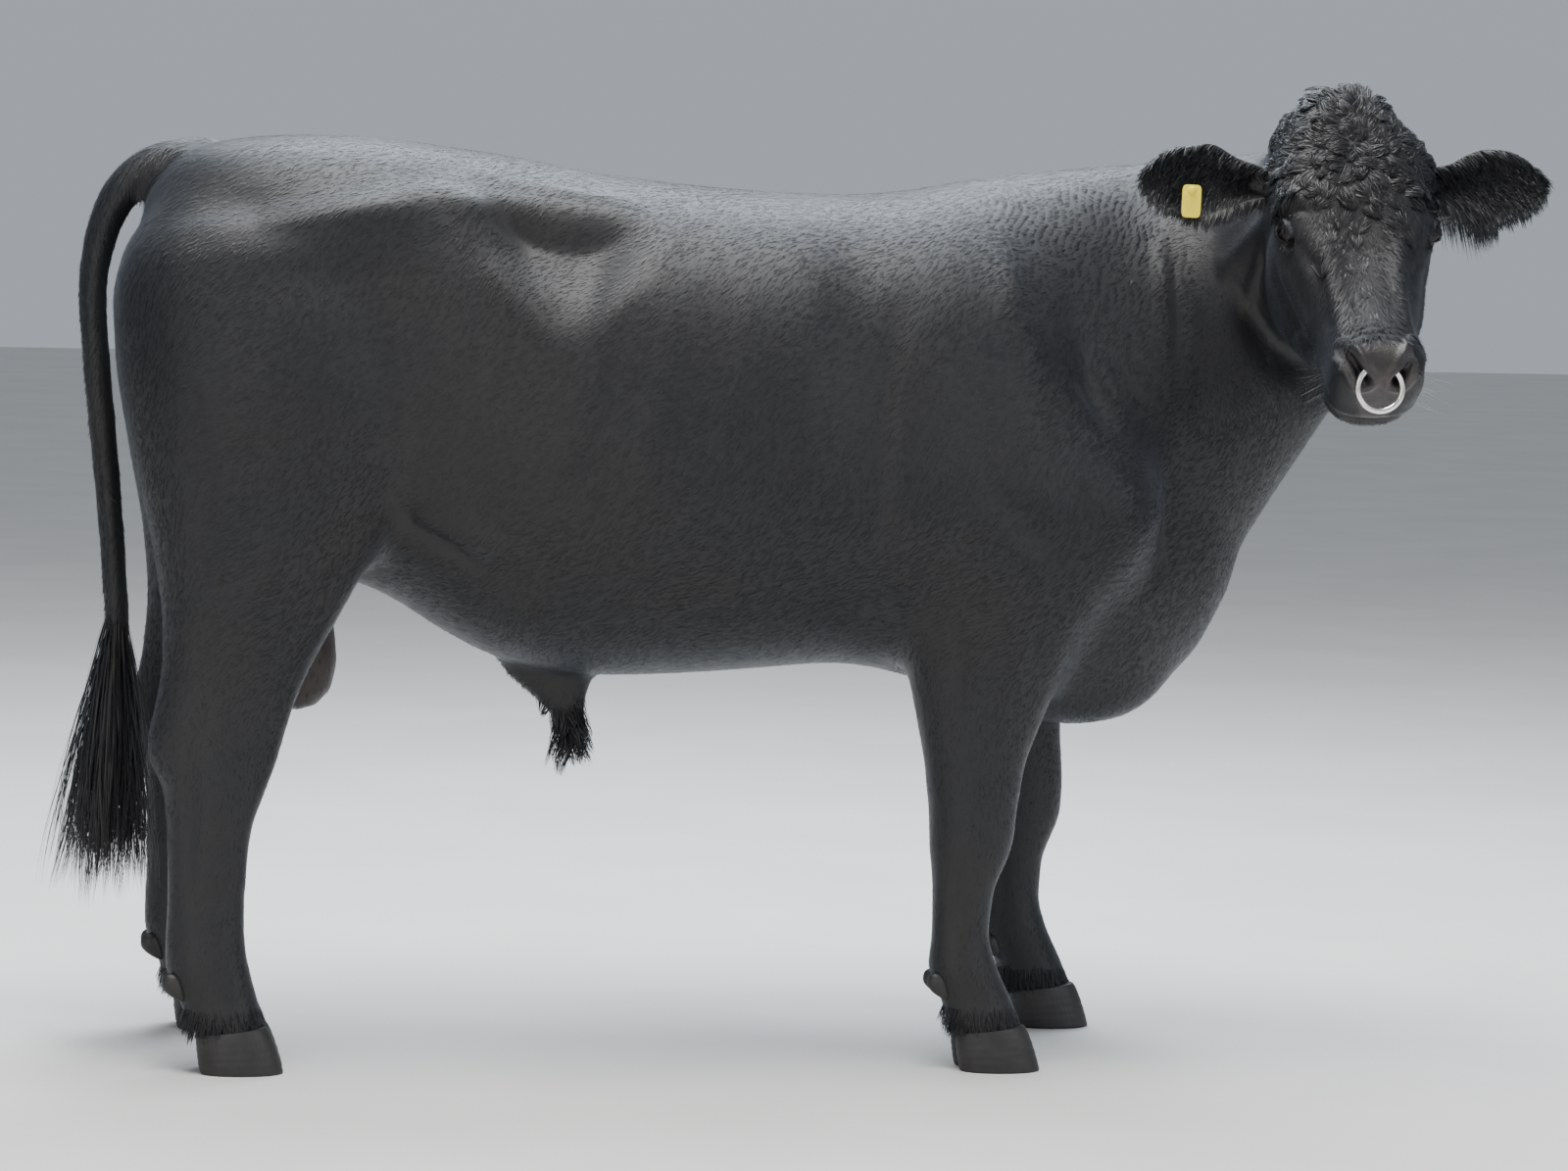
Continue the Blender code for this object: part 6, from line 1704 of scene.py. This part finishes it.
def make_whiskers(skin, rng):
    """Stiff hairs at the sides of the muzzle and chin, pale: grey hair lightened as a painted glint."""
    spots, lies, lengths = [], [], []
    tree = BVHTree.FromObject(skin, bpy.context.evaluated_depsgraph_get())
    for side in (-1, 1):
        for _ in range(WHISKERS):
            across, over, ahead = [rng.uniform(*span) for span in WHISKER_SPANS]
            local = Vector((side * across, over, ahead))
            hit = tree.find_nearest(on_head(local))
            spots.append(np.array(hit[0]))
            out = np.array(hit[1]) * 0.8 + np.array(HEAD_TURN @ Vector((side * 0.8, -0.15, 0.15)))
            lies.append(unit(out + rng.normal(0.0, 0.15, 3)))
            lengths.append(rng.uniform(*WHISKER_LENGTHS))
    stiff_hairs("hair_whiskers", skin, spots, lies, lengths, WHISKER_WIDTH, WHISKER)


def stiff_hairs(name, skin, spots, lies, lengths, width, material):
    """Single hairs, each placed on the unwrap at the nearest face."""
    spots, lies = np.array(spots), np.array(lies)
    normals = unit(np.cross(lies, np.array((0.3, 0.2, 1.0))))
    normals = unit(np.cross(normals, lies))
    mesh = skin.data
    places = nearest_places(mesh, spots)
    roots = Roots(spots, normals, places, lies)
    paths = hair_paths(roots, np.array(lengths), 6, -0.25, np.array(lengths) * 0.15)
    wide = np.cross(lies, normals)
    widths = np.full(len(spots), width)
    place_piece(blades(name, paths, wide, widths, places, material, 3.0), "long_hair")


def nearest_places(mesh, spots):
    """Place on the unwrap of the face nearest each spot."""
    tree = KDTree(len(mesh.polygons))
    for face in mesh.polygons:
        tree.insert(face.center, face.index)
    tree.balance()
    data = mesh.uv_layers["OFBake"].data
    return np.array([data[mesh.polygons[tree.find(spot)[1]].loop_start].uv[:] for spot in spots])


def aim(item, place, target, roll=0.0):
    ahead = (Vector(target) - Vector(place)).normalized()
    turn = ahead.to_track_quat("-Z", "Y").to_matrix() @ Matrix.Rotation(math.radians(roll), 3, "Z")
    item.matrix_world = Matrix.Translation(place) @ turn.to_4x4()


def make_camera():
    data = bpy.data.cameras.new("camera")
    data.lens = CAMERA_LENS
    data.sensor_width = 36.0
    data.clip_end = 100.0
    camera = add_object("camera", data)
    aim(camera, Vector(CAMERA_AT) - BOX_CENTRE, Vector(CAMERA_TARGET) - BOX_CENTRE, CAMERA_ROLL)
    bpy.context.scene.camera = camera


def area_light(name, place, size, power, colour):
    data = bpy.data.lights.new(name, "AREA")
    data.shape = "SQUARE"
    data.size = size
    data.energy = power
    data.color = colour
    light = add_object(name, data)
    aim(light, Vector(place), (0.0, 0.0, 0.8))


def make_studio():
    world = bpy.data.worlds.new("studio")
    world.use_nodes = True
    sky = world.node_tree.nodes["Background"]
    sky.inputs["Color"].default_value = (0.72, 0.78, 0.86, 1.0)
    sky.inputs["Strength"].default_value = 0.55
    bpy.context.scene.world = world
    mesh = bpy.data.meshes.new("floor")
    half = FLOOR_SIZE / 2
    corners = [(x * half, y * half, FLOOR_AT) for x, y in ((-1, -1), (1, -1), (1, 1), (-1, 1))]
    mesh.from_pydata(corners, [], [(0, 1, 2, 3)])
    floor_look = plain_material("floor_look", (0.62, 0.61, 0.59), 0.85, 0.0, 0.03, 2.0)
    add_object("floor", mesh, None, floor_look)
    area_light("key_light", (-0.5, -1.0, 6.0), 3.0, 560.0, (1.0, 0.99, 0.97))
    area_light("top_light", (0.2, 2.2, 4.6), 3.5, 420.0, (0.84, 0.91, 1.0))
    area_light("front_light", (4.2, -4.6, 2.6), 2.5, 90.0, (0.92, 0.95, 1.0))
    area_light("side_light", (-2.5, -6.0, 2.0), 3.0, 90.0, (1.0, 0.98, 0.95))


def place_piece(item, slot, *nodes):
    """Moves a piece laid out with the body to the row frame and hides the solids it replaces; slot is not
    used.
    """
    item.data.transform(Matrix.Translation(-BOX_CENTRE))
    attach(item, "root")
    if nodes:
        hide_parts(*nodes)


def build():
    group = bpy.data.collections.new("bull")
    bpy.context.scene.collection.children.link(group)
    rng = np.random.default_rng(SEED)
    skin = build_skin(group)
    for part in FINER:
        refine_part(skin, *part)
    sculpt_face(skin)
    eyes = []
    for side, word in SIDES:
        centre, axes = eye_frame(side, word)
        open_eye(skin, centre, axes)
        eyes.append((centre, axes))
        place_piece(make_eyeball("eyeball_" + word, centre, axes), "eye", "eye_" + word)
    map_skin(skin)
    dress(skin, SKIN)
    smooth(skin.data)
    ears = [(side, word, make_ear(side, word)) for side, word in SIDES]
    make_coat(skin, eyes, rng)
    make_forehead(skin, rng)
    make_switch(skin, rng)
    make_sheath_hair(skin, rng)
    make_coronet_hair(skin, rng)
    make_ear_hair(ears, rng)
    make_lashes(skin, eyes, rng)
    make_whiskers(skin, rng)
    for which, toe_x, shift in (("hind", HIND_TOE_X, LEFT_HIND_SHIFT), ("fore", FORE_TOE_X, LEFT_FORE_SHIFT)):
        for side, word in SIDES:
            make_foot(which, toe_x, shift, side, word, group)
    radius = (RING_OUTER - RING_ROD) / 2
    ring = torus("ring", ring_centre(), ring_turn(), radius, RING_ROD / 2, group, RING, 96, 20)
    place_piece(ring, "ring_metal", "nose_ring")
    make_tag(group)
    for side, word, ear in ears:
        place_piece(ear, "coat", "ear_" + word)
    place_piece(skin, "coat", *FLESH)


build()
make_camera()
make_studio()
